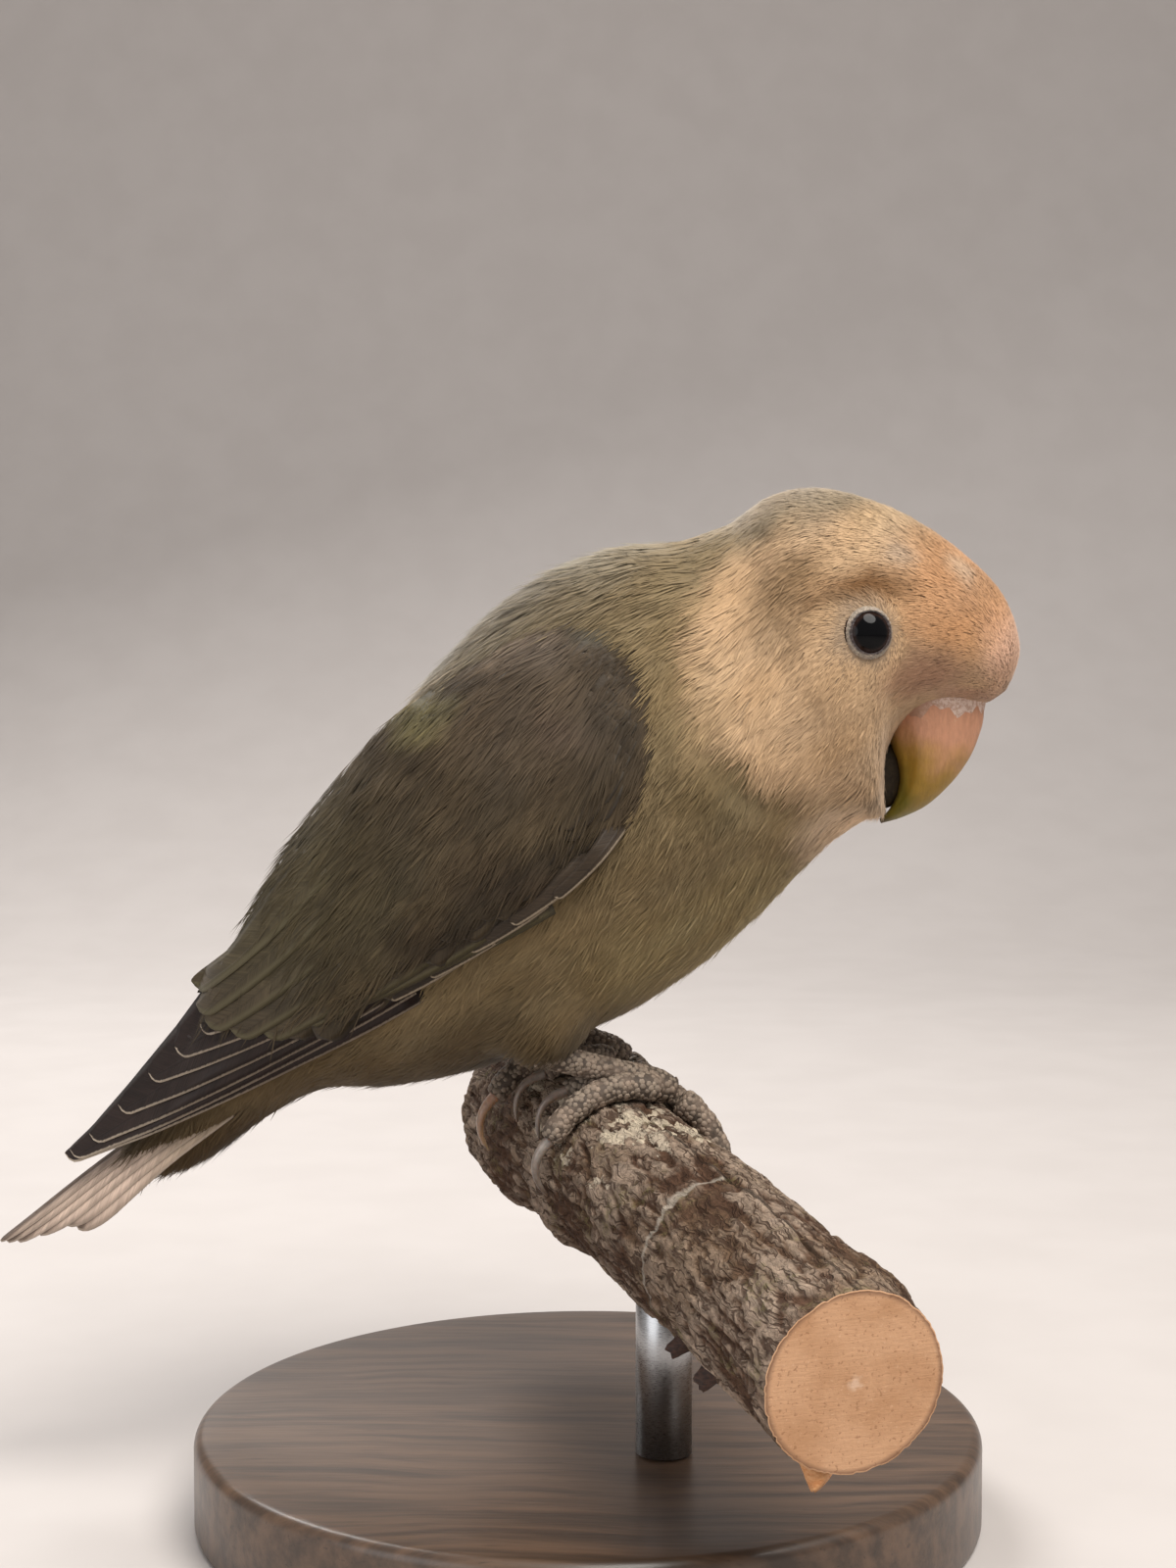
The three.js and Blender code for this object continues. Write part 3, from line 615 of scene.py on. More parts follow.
def tuft_tree(name, material):
    """Sets one of a few tuft shapes on every root, turned and sized as the root says."""
    kept = bpy.data.collections.new(name + " shapes")
    for number, form in enumerate(TUFT_FORMS):
        kept.objects.link(tuft_shape(f"{name}_{number}", *form, material))
    n = Group(name, "GeometryNodeTree", {"Roots": "Geometry", "Seed": "Int"}, "Tufts", "Geometry")

    def root_value(label):
        node = n.add("GeometryNodeInputNamedAttribute", {"Name": label}, data_type="FLOAT_VECTOR")
        return live(node.outputs, "Attribute")

    pick = n.add("FunctionNodeRandomValue", {
        "Min": 0, "Max": len(TUFT_FORMS) - 1, "Seed": n.given["Seed"]}, data_type="INT")
    info = n.add("GeometryNodeCollectionInfo", {
        "Collection": kept, "Separate Children": True, "Reset Children": True})
    turn = n.add("FunctionNodeEulerToRotation", {0: root_value("turn")})
    put = n.add("GeometryNodeInstanceOnPoints", {
        "Points": n.given["Roots"], "Instance": info.outputs[0], "Pick Instance": True,
        "Instance Index": live(pick.outputs, "Value"), "Rotation": turn.outputs[0],
        "Scale": root_value("size")})
    real = n.add("GeometryNodeRealizeInstances", {"Geometry": put.outputs[0]})
    spot = n.vector("SCALE", n.vector("SUBTRACT", root_value("feather"), (0.5, 0.5, 0.0)), TUFT_PATCH)
    bake = n.add("GeometryNodeStoreNamedAttribute", {"Geometry": real.outputs[0], "Name": "OFBake"},
                 data_type="FLOAT2", domain="CORNER")
    n.put(bake, "Value", n.vector("ADD", root_value("root_uv"), spot))
    dress = n.add("GeometryNodeSetMaterial", {"Geometry": bake.outputs[0], "Material": material})
    return n.done(dress.outputs[0])


def grown(thing, tree, settings):
    """The plain mesh that a tree makes of an object, which it takes the place of."""
    grow = thing.modifiers.new("grow", "NODES")
    grow.node_group = tree
    sockets = {s.name: s.identifier for s in tree.interface.items_tree if s.in_out == "INPUT"}
    for label, value in settings.items():
        grow[sockets[label]] = value
    graph = bpy.context.evaluated_depsgraph_get()
    mesh = bpy.data.meshes.new_from_object(
        thing.evaluated_get(graph), preserve_all_data_layers=True, depsgraph=graph)
    name = mesh.name = thing.name.replace("_start", "")
    bpy.data.objects.remove(thing)
    return in_scene(name, mesh)


def basis_euler(forward, outward):
    """Angles that turn a shape's x along forward and its z outwards."""
    x = unit(forward)
    y = unit(np.cross(outward, x))
    z = np.cross(x, y)
    return np.stack([np.arctan2(y[:, 2], z[:, 2]), np.arcsin(np.clip(-x[:, 2], -1, 1)),
                     np.arctan2(x[:, 1], x[:, 0])], 1)


def plant(name, roots, forward, outward, size, root_uv, marks, material, slot, seed):
    """Tufts at roots, made real as one plain mesh. marks holds a number or a vector for each root."""
    base = bpy.data.meshes.new(name)
    base.vertices.add(len(roots))
    base.vertices.foreach_set("co", in_metres(roots).ravel())
    carrier = in_scene(name + "_start", base)
    own = {"turn": basis_euler(forward, outward), "size": size * MM, "outward": unit(outward),
           "root_uv": np.concatenate([root_uv, np.zeros((len(roots), 1))], 1)}
    for label, value in {**own, **marks}.items():
        paint(carrier, label, value)
    piece = grown(carrier, tuft_tree(name, material), {"Seed": seed})
    mesh = piece.data
    body_way, facet_way = np.zeros((2, len(mesh.vertices) * 3))
    mesh.attributes["outward"].data.foreach_get("vector", body_way)
    mesh.vertices.foreach_get("normal", facet_way)
    blend = unit(SOFTNESS * body_way.reshape(-1, 3) + (1 - SOFTNESS) * facet_way.reshape(-1, 3))
    mesh.normals_split_custom_set_from_vertices(blend.tolist())
    for label in own:
        if label in mesh.attributes:
            mesh.attributes.remove(mesh.attributes[label])
    settle(piece, slot)


def smooth_noise(points, scale, seed):
    """A smooth random number from 0 to 1 for each point, from sines in a few directions."""
    draw = np.random.default_rng(seed)
    total = np.zeros(len(points))
    for _ in range(7):
        direction = unit(draw.normal(size=3)) / scale * 2 * math.pi * draw.uniform(0.6, 1.5)
        total += np.sin(points @ direction + draw.uniform(0, 6.28))
    return 0.5 + total / 7 * 0.9


# The folded wings

COVERED_RISE = 2.5  # how far the wing stands off the trunk
# A wing's field in the side view: its front and lower edge, and its upper edge, both from the shoulder back.
FRONT_EDGE = np.array([
    [4.9, 118.2], [6.4, 116.2], [8.4, 111.6], [9.2, 104.6], [8.3, 98.6], [6.0, 93.0], [2.4, 88.2],
    [-2.6, 84.0], [-9.4, 79.6], [-16.4, 74.8], [-22.8, 70.6],
])
BACK_EDGE = np.array([
    [4.9, 118.2], [-0.9, 119.2], [-6.8, 117.4], [-12.3, 114.9], [-19.7, 110.4], [-27.1, 104.6],
    [-33.3, 97.4], [-39.5, 88.8], [-45.5, 79.2], [-49.5, 71.2], [-52.4, 65.0],
])
BREAST_EDGE, LOWER_EDGE, MANTLE_EDGE = FRONT_EDGE[:7], FRONT_EDGE[6:], BACK_EDGE[:5]


def along_row(row, share):
    """Points at shares of the way along a row of them."""
    return between(row, share * (len(row) - 1))


def wing_grid(rows, columns):
    """Side-view points of the field, rows from the shoulder to the rear, columns from the lower edge up."""
    u, v = np.meshgrid(np.linspace(0, 1, rows), np.linspace(0, 1, columns), indexing="ij")
    low, high = along_row(FRONT_EDGE, u.ravel()), along_row(BACK_EDGE, u.ravel())
    return low + (high - low) * v.reshape(-1, 1)


def edge_distance(x, z, edge):
    """How far points of the side view are from an edge line."""
    best = np.full(len(x), 1e9)
    for (x0, z0), (x1, z1) in zip(edge[:-1], edge[1:]):
        d = np.array([x1 - x0, z1 - z0])
        t = np.clip(((x - x0) * d[0] + (z - z0) * d[1]) / (d @ d), 0, 1)
        best = np.minimum(best, np.hypot(x - x0 - t * d[0], z - z0 - t * d[1]))
    return best


def wing_rise(x, z):
    """How far the wing's surface stands off the trunk at points of the side view."""
    front, mantle = edge_distance(x, z, BREAST_EDGE), edge_distance(x, z, MANTLE_EDGE)
    rise = -0.6 + (COVERED_RISE + 0.6) * smooth(front, 0.3, 9) * smooth(mantle, -1, 6)
    return np.minimum(rise, 0.8 + (COVERED_RISE - 0.8) * smooth(edge_distance(x, z, LOWER_EDGE), 0, 5))


def inside_wing(x, z):
    """Whether points of the side view lie in the wing's field."""
    outline = np.concatenate([FRONT_EDGE, BACK_EDGE[::-1]])
    inside = np.zeros(len(x), bool)
    for (xi, zi), (xj, zj) in zip(outline, np.roll(outline, 1, 0)):
        if zi != zj:
            inside ^= ((zi > z) != (zj > z)) & (x < (xj - xi) * (z - zi) / (zj - zi) + xi)
    return inside


def surface_ways(place, angle, grow):
    """How points of the body's surface move with their place along it and with their angle round it."""
    e = 0.02
    dp = (unturned_body(place + e, angle, grow) - unturned_body(place - e, angle, grow)) / (2 * e)
    da = (unturned_body(place, angle + e, grow) - unturned_body(place, angle - e, grow)) / (2 * e)
    return dp, da


def step_along(place, angle, heading, step, grow):
    """Moves over the body's surface; heading turns from straight back (0) down towards the belly."""
    dp, da = (np.maximum(np.linalg.norm(way, axis=1), 0.5) for way in surface_ways(place, angle, grow))
    return place - step * np.cos(heading) / dp, angle + step * np.sin(heading) / da


def down_heading(place, angle, lower):
    """How far the wing's small feathers turn down from straight back; less by the lower edge."""
    height = (1 + np.sin(angle)) / 2
    return math.radians(30) * (1 - 0.85 * smooth(height, 0.25, 0.95)) * (0.1 + 0.9 * smooth(lower, 1, 9))


def round_end(t, start):
    """How wide a feather still is, with a tip that is round from start to its end at 1."""
    return math.sqrt(max(0.0, 1 - max(0.0, (t - start) / (1 - start)) ** 2))


def walked_blades(place, angle, heading, length, width, low, high):
    """Small feathers laid over the body from their roots, with the place of each point on its vane."""
    steps, across = 9, 5
    top, vane = np.zeros((2, len(place), steps, across, 3))
    for i in range(steps):
        t = i / (steps - 1)
        wide = width / 2 * (0.6 + 0.4 * math.sin(math.pi * min(t * 0.8 + 0.1, 0.5))) * round_end(t, 0.62)
        grow = low + (high - low) * t
        for k, offset in enumerate(np.linspace(-1, 1, across)):
            q, b = step_along(place, angle, heading + math.pi / 2, wide * offset, grow)
            top[:, i, k] = unturned_body(q, b, grow - 0.14 * offset * offset * wide)
            rim = np.minimum(width / 2 * (1 - abs(offset)), (1 - t) * length)
            vane[:, i, k] = np.stack([t * length, wide * offset, rim], 1)
        place, angle = step_along(place, angle, heading, length / (steps - 1), grow)
    return top, vane


def reach_to(points, ways, outline):
    """How far it is from points of the side view, the given ways, to an outline."""
    best = np.full(len(points), 99.0)
    found = np.zeros(len(points), bool)
    for a, b in zip(outline[:-1], outline[1:]):
        d = b - a
        turn = ways[:, 0] * d[1] - ways[:, 1] * d[0]
        turn = np.where(np.abs(turn) < 1e-6, 1e-6, turn)
        off = a - points
        t = (off[:, 0] * d[1] - off[:, 1] * d[0]) / turn
        u = (off[:, 0] * ways[:, 1] - off[:, 1] * ways[:, 0]) / turn
        hit = (t > 0) & (u > -0.02) & (u < 1.02)
        best = np.where(hit, np.minimum(best, t), best)
        found |= hit
    return np.where(found, best, 0)


def laid_blades(edge_from, edge_to, widths, tip, y_of, sag=0.0, flip=1, steps=20, roof=None, quick=14.0):
    """Long feathers given in the side view by one edge of each, with rounded tips of radius tip."""
    across = 7
    top, vane = np.zeros((2, len(edge_from), steps, across, 3))
    lengths = np.linalg.norm(edge_to - edge_from, axis=1)
    along = unit(edge_to - edge_from)
    cross = np.stack([along[:, 1], -along[:, 0]], 1) * flip
    for i in range(steps):
        left = ((steps - 1 - i) / (steps - 1)) ** 1.6
        s = lengths * left
        end = np.sqrt(np.maximum(0, 1 - (1 - np.minimum(s / tip, 1)) ** 2))
        line = edge_to - along * s[:, None] - cross * (sag * lengths * math.sin(math.pi * left))[:, None]
        full = 2 * tip + (widths - 2 * tip) * smooth(s, 0.3 * tip, 0.3 * tip + quick)
        if roof is not None:
            full = np.maximum(np.minimum(full, reach_to(line, cross, roof)), 1.2 * tip)
        low, high = tip * (1 - end), tip + (full - tip) * end
        for k, share in enumerate(np.linspace(0, 1, across) ** 1.25):
            off = low + (high - low) * share
            x, z = (line + cross * off[:, None]).T
            top[:, i, k] = np.stack([x, -y_of(x, z, 1 - left), z], 1)
            rim = np.minimum(off - low, s + 7 * max(share - 0.45, 0))
            vane[:, i, k] = np.stack([lengths - s, off - full * 0.3, rim], 1)
    return top, vane


def sheet_faces(upper, under):
    """The faces over a grid of points and, turned the other way, under it."""
    above, below = (
        np.stack([g[:-1, :-1], g[:-1, 1:], g[1:, 1:], g[1:, :-1]], -1).reshape(-1, 4) for g in (upper, under))
    return np.stack([above, below[:, [0, 3, 2, 1]]], 1).reshape(-1, 4).tolist()


def blade_piece(name, top, vane, thick, outward, material, slot, draw, mirror=False, nodes=()):
    """One piece of closed thin blades; outward is the way their upper sides face."""
    n, steps, across = top.shape[:3]
    out = unit(np.cross(np.gradient(top, axis=2), np.gradient(top, axis=1)))
    out *= np.sign((out * np.array(outward, float)).sum(-1, keepdims=True))
    inner = np.zeros((steps, across), bool)
    inner[1:-1, 1:-1] = True
    index = np.arange(steps * across).reshape(steps, across)
    under = index.copy()
    under[inner] = steps * across + np.arange(inner.sum())
    points = np.concatenate([top.reshape(n, -1, 3), (top - out * thick)[:, inner]], axis=1)
    each = points.shape[1]
    faces = np.array(facing_out(points[0], sheet_faces(index, under)))
    if mirror:
        points, faces = points * [1, -1, 1], faces[:, ::-1]
    faces = (faces[None] + (np.arange(n) * each)[:, None, None]).reshape(-1, 4)
    piece = make_mesh(name, points.reshape(-1, 3), faces, material)
    paint(piece, "vane", np.concatenate([vane.reshape(n, -1, 3), vane[:, inner]], axis=1).reshape(-1, 3))
    paint(piece, "tone", np.repeat(draw.random(n), each))
    # each blade has a cell of its own on the bake map
    t, s = np.meshgrid(np.linspace(0.04, 0.96, steps), np.linspace(0.04, 0.96, across), indexing="ij")
    cell = np.stack([t, s], -1)
    cell = np.concatenate([cell.reshape(-1, 2), cell[inner]])
    columns = math.ceil(math.sqrt(n * across / steps))
    number = np.repeat(np.arange(n), each)
    corner = np.stack([number // columns, number % columns], 1)
    give_uv(piece, "OFBake", (corner + np.tile(cell, (n, 1))) / [math.ceil(n / columns), columns])
    settle(piece, slot, *nodes)


def vane_material(name, look_of, rim_colour, rim_share, rim_wide, gloss=0.5, barb=1.0, shaft=0.5):
    """A vane in its own millimetres: shaft, fine slanting barbs and a paler rim."""
    n = Material(name, gloss, Sheen_Weight=0.04, Specular_IOR_Level=0.18)
    along, aside, from_rim = n.parts(n.attribute("vane", "Vector"))
    off = n.math("ABSOLUTE", aside)
    tone = n.attribute("tone")
    slant = n.math("MULTIPLY_ADD", off, -1.2, along)

    def streaks(stretch, out, seed):
        numbers = (n.math("MULTIPLY", a, b) for a, b in ((slant, stretch), (off, out), (tone, seed)))
        return n.noise(n.joined(*numbers), 1.0, 3.0, 0.6)

    barbs, patches = streaks(3.2, 0.3, 37.0), streaks(0.35, 0.25, 91.0)
    bright = n.math("MULTIPLY", n.slope(barbs, 0.25, 0.75, 1 - 0.25 * barb, 1 + 0.28 * barb),
                    n.slope(patches, 0.3, 0.7, 0.82, 1.18))
    bright = n.math("MULTIPLY", bright, n.math("MULTIPLY_ADD", tone, 0.3, 0.85))
    look = n.vector("SCALE", look_of(n), bright)
    rib = n.math("MULTIPLY", n.slope(off, 0.08, 0.2, 1.0, 0.0), shaft)
    look = n.mix(n.math("MULTIPLY", rib, 0.6), look, n.vector("SCALE", look, 0.5))
    border = n.math("ADD", from_rim, n.math("MULTIPLY_ADD", barbs, 0.3, -0.15))
    look = n.laid(look, rim_colour, border, rim_wide * 0.5, rim_wide * 1.2, rim_share, 0.0)
    return n.done(look, n.math("ADD", n.math("MULTIPLY", barbs, 0.7), rib), 0.5, 0.14)


def even(tint):
    """A vane's colour that is the same along it."""
    return lambda n: n.mix(0.0, tint, tint)


covert_material = vane_material("covert vane", wing_colour, (0.095, 0.076, 0.052), 0.45, 0.5)
inner_material = vane_material("inner wing vane", wing_colour, (0.085, 0.071, 0.038), 0.95, 1.0)
flight_material = vane_material(
    "long flight vane", even((0.019, 0.012, 0.010)), (0.40, 0.33, 0.255), 0.97, 0.30, 0.42, 0.7)
dark_material = vane_material("dark covert vane", even((0.042, 0.028, 0.018)), (0.11, 0.085, 0.058), 0.7, 0.4)
edge_material = vane_material("wing edge vane", even((0.036, 0.025, 0.016)), (0.30, 0.24, 0.17), 0.85, 0.3)


def wing_bed(mirror):
    """Points and faces of the wing's own closed shell, under its feathers."""
    rows, columns = 40, 22
    x, z = wing_grid(rows, columns).T
    rise = wing_rise(x, z)
    place, angle = side_place(x, z, rise)
    index = np.arange(rows * columns).reshape(rows, columns)
    under = index + rows * columns
    faces = sheet_faces(index, under)
    rim = [(0, k) for k in range(columns)] + [(i, columns - 1) for i in range(1, rows)]
    rim += [(rows - 1, k) for k in range(columns - 2, -1, -1)] + [(i, 0) for i in range(rows - 2, 0, -1)]
    for a, b in zip(rim, rim[1:] + rim[:1]):
        faces.append((index[b], index[a], under[a], under[b]))
    points = np.concatenate([unturned_body(place, angle, rise - 0.7), unturned_body(place, angle, -2.6)])
    points = points * ([1, -1, 1] if mirror else [1, 1, 1])
    return points, facing_out(points, faces)


def covert_roots():
    """Roots of the coverts: staggered rows behind the front edge, small ones first."""
    x, z = wing_grid(90, 60).T
    behind = edge_distance(x, z, BREAST_EDGE)
    chosen, distance, row = [], 4.0, 0
    while distance < 52:
        long, wide = 5.2 + 0.125 * distance, 3.0 + 0.055 * distance
        near = np.abs(behind - distance) < 0.7
        order = np.argsort(z[near])
        bx, bz = x[near][order], z[near][order]
        reach = np.cumsum(np.maximum(np.diff(bz, prepend=bz[0]), 0.02))
        spots = np.arange(reach[0] + (row % 2) * wide * 0.31, reach[-1], wide * 0.62)
        places = zip(np.interp(spots, reach, bx), np.interp(spots, reach, bz))
        chosen += [(*spot, long, wide) for spot in places]
        distance += long * 0.34
        row += 1
    return np.array(chosen)


# The long feathers in the side view: the edge of each runs from its root to its tip, under a roof.
INNER_ROOTS = np.array([
    [-33.0, 85.0], [-27.5, 82.0], [-21.5, 79.8], [-14.0, 79.5], [-8.0, 80.0], [-4.0, 81.0]])
INNER_TIPS = np.array([
    [-52.6, 67.0], [-50.4, 63.8], [-44.8, 62.4], [-37.6, 64.4], [-30.4, 68.2], [-26.0, 71.4]])
INNER_ROOF = np.array([
    [5.0, 150.0], [-19.2, 109.6], [-32.4, 97.0], [-44.6, 79.2], [-49.6, 71.4], [-52.4, 67.4],
    [-54.0, 64.6], [-58.0, 56.0]])
DARK_ROOTS = np.array([[-22.0, 91.0], [-16.0, 92.0], [-10.0, 91.4]])
DARK_TIPS = np.array([[-27.2, 74.6], [-22.0, 78.6], [-15.6, 83.0]])
EDGE_ROOTS = np.array([[5.6, 92.4], [3.4, 89.6], [0.2, 86.4], [-3.8, 83.4], [-8.8, 80.2]])
EDGE_TIPS = np.array([[-3.6, 82.6], [-9.2, 79.2], [-14.6, 75.6], [-19.8, 72.2], [-25.0, 69.0]])
# The flight feathers, from the innermost to the outermost.
FLIGHT_ROOTS = np.array([
    [-25.5, 75.0], [-25.0, 73.8], [-24.4, 72.7], [-23.6, 71.7], [-22.8, 70.8], [-22.0, 70.0], [-20.6, 69.2]])
FLIGHT_TIPS = np.array([
    [-51.4, 62.6], [-54.9, 59.2], [-58.6, 55.6], [-62.8, 51.2], [-66.8, 47.2], [-69.6, 44.9], [-70.4, 44.4]])
FLIGHT_WIDTHS = np.array([9.0, 9.5, 9.5, 9.5, 9.0, 8.0, 6.0])
FLIGHT_ROOF = np.array([
    [4.0, 143.0], [-36.0, 90.0], [-50.9, 70.0], [-55.6, 63.6], [-62.2, 55.6], [-67.4, 49.6],
    [-71.2, 46.0], [-73.0, 44.0]])


def wing_side(rise):
    """How far out a feather lies that rises so much over the trunk, by its share of the way to the tip."""
    def out(x, z, t):
        place, angle = side_place(x, z, COVERED_RISE)
        return -unturned_body(place, angle, rise(t))[:, 1]
    return out


def flight_side(layer):
    """How far out the long feathers lie, the inner ones over the outer ones."""
    def out(x, z, t):
        crest = np.interp(x, [-71, -64, -58, -52, -44, -34, -24], [47.0, 54.6, 61.6, 68.6, 73.0, 76.0, 78.0])
        roof = 2.0 + 0.62 * np.clip(crest - z, 0, 12)
        side = np.log(np.exp((half_width(x, z) + 1.3) * 0.6) + np.exp(roof * 0.6)) / 0.6
        hidden = 4.6 * smooth(z - np.interp(x, INNER_TIPS[:, 0], INNER_TIPS[:, 1]), 1.5, 8)
        return side + layer * (1 - 0.45 * t) - 0.4 - hidden - 1.5 * (1 - smooth(t, 0, 0.12))
    return out


def rearward(x, z):
    """How far back and down points of the side view are, along the wing's own slope."""
    return -0.8 * x - z


def build_wing(side):
    """One folded wing: shell, inner feathers, coverts in rows, dark coverts, edge and flight feathers."""
    mirror = side == "left"
    draw = np.random.default_rng(21 if mirror else 11)
    bed = make_mesh(f"wing_{side}_bed", *wing_bed(mirror), bed_material)
    settle(bed, "wing_coverts", f"wing_{side}_coverts", f"wing_{side}_inner_feathers")

    def add(name, made, thick, material, slot, *nodes):
        blade_piece(f"wing_{side}_{name}", *made, thick, (0.1, -1, 0.3), material, slot, draw, mirror, nodes)

    count = 9
    share = np.linspace(0, 1, count)
    tips = along_row(INNER_TIPS, share) + draw.normal(0, 0.3, (count, 2))
    layer = np.linspace(0.95, -0.45, count)
    rise = wing_side(lambda t: COVERED_RISE - 0.8 + layer + 0.7 * t)
    made = laid_blades(along_row(INNER_ROOTS, share), tips, np.linspace(8.4, 6.6, count), 2.3, rise, 0.035,
                       roof=INNER_ROOF)
    add("inner_vanes", made, 0.3, inner_material, "wing_inner_feathers")

    x, z, long, wide = covert_roots().T
    keep = inside_wing(x, z) & (rearward(x, z) < -44) & (edge_distance(x, z, LOWER_EDGE) > 2.2)
    keep &= edge_distance(x, z, BACK_EDGE) > 3.5
    x, z = (v[keep] + draw.normal(0, 0.35, keep.sum()) for v in (x, z))
    rise = wing_rise(x, z)
    place, angle = side_place(x, z, rise)
    lower = edge_distance(x, z, LOWER_EDGE)
    heading = down_heading(place, angle, lower) + draw.normal(0, 0.07, len(x))
    tip_rise = rise - 0.1 + draw.uniform(0, 0.15, len(x))
    made = walked_blades(place, angle, heading, np.minimum(long[keep], 5.5 + lower), wide[keep] * 1.15,
                         rise - 0.5, tip_rise)
    add("covert_vanes", made, 0.14, covert_material, "wing_coverts")

    rise = wing_side(lambda t: COVERED_RISE - 0.8 + np.array([0.9, 0.6, 0.2]) * t)
    made = laid_blades(DARK_ROOTS, DARK_TIPS, np.array([7.0, 6.6, 6.0]), 2.6, rise, 0.05, -1)
    add("dark_coverts", made, 0.3, dark_material, "wing_coverts")

    rise = wing_side(lambda t: 2.7 * smooth(t, 0, 0.5) - 1.2 + np.array([0.4, 0.3, 0.2, 0.1, 0.0]))
    made = laid_blades(EDGE_ROOTS, EDGE_TIPS, np.full(5, 2.8), 0.8, rise, 0.04)
    add("edge_feathers", made, 0.22, edge_material, "wing_coverts")

    layer = np.arange(len(FLIGHT_TIPS))[::-1] * 0.34
    made = laid_blades(FLIGHT_ROOTS, FLIGHT_TIPS, FLIGHT_WIDTHS, 1.7, flight_side(layer), 0.02,
                       steps=26, roof=FLIGHT_ROOF, quick=4.0)
    add("flight_feathers", made, 0.3, flight_material, "flight_feathers", f"wing_{side}_primaries")


bed_material = under_material("wing under feathers", wing_colour)
for wing in ("right", "left"):
    build_wing(wing)

# The tail

TAIL_LINE = np.array([[-48.0, 56.0], [-58.0, 49.9], [-66.0, 44.3], [-73.0, 38.9], [-81.0, 32.4]])
TAIL_LENGTH = 41.0


def tail_colour(n):
    """Grey-brown with a cream outer edge, and olive at the root."""
    along, aside, _ = n.parts(n.attribute("vane", "Vector"))
    look = n.laid((0.115, 0.080, 0.060), (0.46, 0.350, 0.280), aside, 0.9, 1.8)
    return n.laid(look, (0.27, 0.21, 0.13), along, 4.0, 18.0, 0.6, 0.0)


def build_tail():
    """Twelve feathers in a closed fan, the middle pair longest and on top."""
    n, steps, across = 12, 18, 5
    order = np.array([side * rank for rank in (5.5, 4.5, 3.5, 2.5, 1.5, 0.5) for side in (1, -1)]) / 5.5
    outer = np.abs(order)
    length = 1 - 0.36 * outer ** 1.3 + np.random.default_rng(6).normal(0, 0.02, n) * (outer > 0.2)
    top, vane = np.zeros((2, n, steps, across, 3))
    for i in range(steps):
        t = 1 - ((steps - 1 - i) / (steps - 1)) ** 1.5
        line = along_row(TAIL_LINE, t * length)
        wide = (2.3 + 0.9 * t) * round_end(t, 0.7)
        for k, offset in enumerate(np.linspace(-1, 1, across)):
            y = order * (4.4 + 3.2 * t) + offset * wide * np.sign(order)
            drop = (6.6 - 0.8 * t) * (np.abs(y) / 9.4) ** 1.5 + 0.5 * outer
            top[:, i, k] = np.stack([line[:, 0] + 0.45 * drop, y, line[:, 1] + 0.9 - drop * 0.9], 1)
            rim = np.full(n, min(wide * (1 - abs(offset)), (1 - t) * (TAIL_LENGTH - 1)))
            vane[:, i, k] = np.stack([t * length * TAIL_LENGTH, np.full(n, wide * offset), rim], 1)
    material = vane_material("tail vane", tail_colour, (0.62, 0.50, 0.40), 0.6, 0.35, 0.55, 0.8, 0.8)
    blade_piece("tail_feathers", top, vane, 0.28, (-0.4, 0, 1), material, "tail_feathers",
                np.random.default_rng(9), nodes=("tail",))


build_tail()

# The coat

COAT_PIECE = 32000  # tufts in one piece, which keeps it under 200,000 triangles


def eye_axis(hand):
    """The eye's centre and the way it looks."""
    centre = EYE_CENTRE * [1, hand, 1]
    here, outer = turned(np.array([centre, centre + [1.4, hand * 4.0, 0.2]]))
    return here, unit(outer - here)


def from_eye(points, hand):
    """How far points are from the eye's axis, the way from it, and whether they are on its side."""
    centre, axis = eye_axis(hand)
    off = points - centre
    flat = off - (off @ axis)[:, None] * axis
    return np.linalg.norm(flat, axis=1), unit(flat), off @ axis > -3


def wing_cover(points):
    """1 where the body lies under a folded wing, for points of the body."""
    x, z = points[:, 0], points[:, 2]
    depth = np.where(inside_wing(x, z), edge_distance(x, z, FRONT_EDGE), 0)
    return smooth(depth, 0.4, 1.2) * smooth(edge_distance(x, z, MANTLE_EDGE), 2.6, 3.4)


def tuft_density():
    """Tufts to a square millimetre over the skin's grid: fine on the face, none under the wings."""
    flat = skin.reshape(-1, 3)
    thick = 12 + 8 * smooth(grid_place, 12.6, 14.5) + 10 * smooth(grid_place, 16.5, 19)
    thick = thick * (1 - wing_cover(flat)) * ((np.sin(grid_angle) < 0.93) | (flat[:, 0] > -31))
    for hand in (-1, 1):
        away, _, near = from_eye(flat, hand)
        thick = thick * np.where(near, smooth(away, 3.0, 3.3), 1)
    return on_grid(thick)[..., 0] * 1


def scatter(thick, draw):
    """Roots over the skin: places, angles and a way to read a field of the grid at them."""
    width = np.linalg.norm(np.roll(skin[:-1], -1, 1) - skin[:-1], axis=-1)
    height = np.linalg.norm(skin[1:] - skin[:-1], axis=-1)
    weight = (width * height * thick[:-1]).ravel()
    count = int(weight.sum())
    picks = np.sort(draw.choice(len(weight), count, p=weight / weight.sum()))
    ring, side = picks // SKIN_SIDES, picks % SKIN_SIDES
    u, v = draw.random(count), draw.random(count)

    def read(field):
        low, top = (
            field[r, side] * (1 - v)[:, None] + field[r, (side + 1) % SKIN_SIDES] * v[:, None]
            for r in (ring, ring + 1))
        return low * (1 - u)[:, None] + top * u[:, None]

    step = (FACE - SKIN_START) / (SKIN_RINGS - 1)
    return SKIN_START + (ring + u) * step, (side + v) / SKIN_SIDES * 2 * math.pi, read


def coat_slot(place):
    """The slot of a piece of the coat, from the middle place of its tufts along the body."""
    return "body_feathers" if place < 11.5 else "neck_feathers" if place < 14 else "head_feathers"


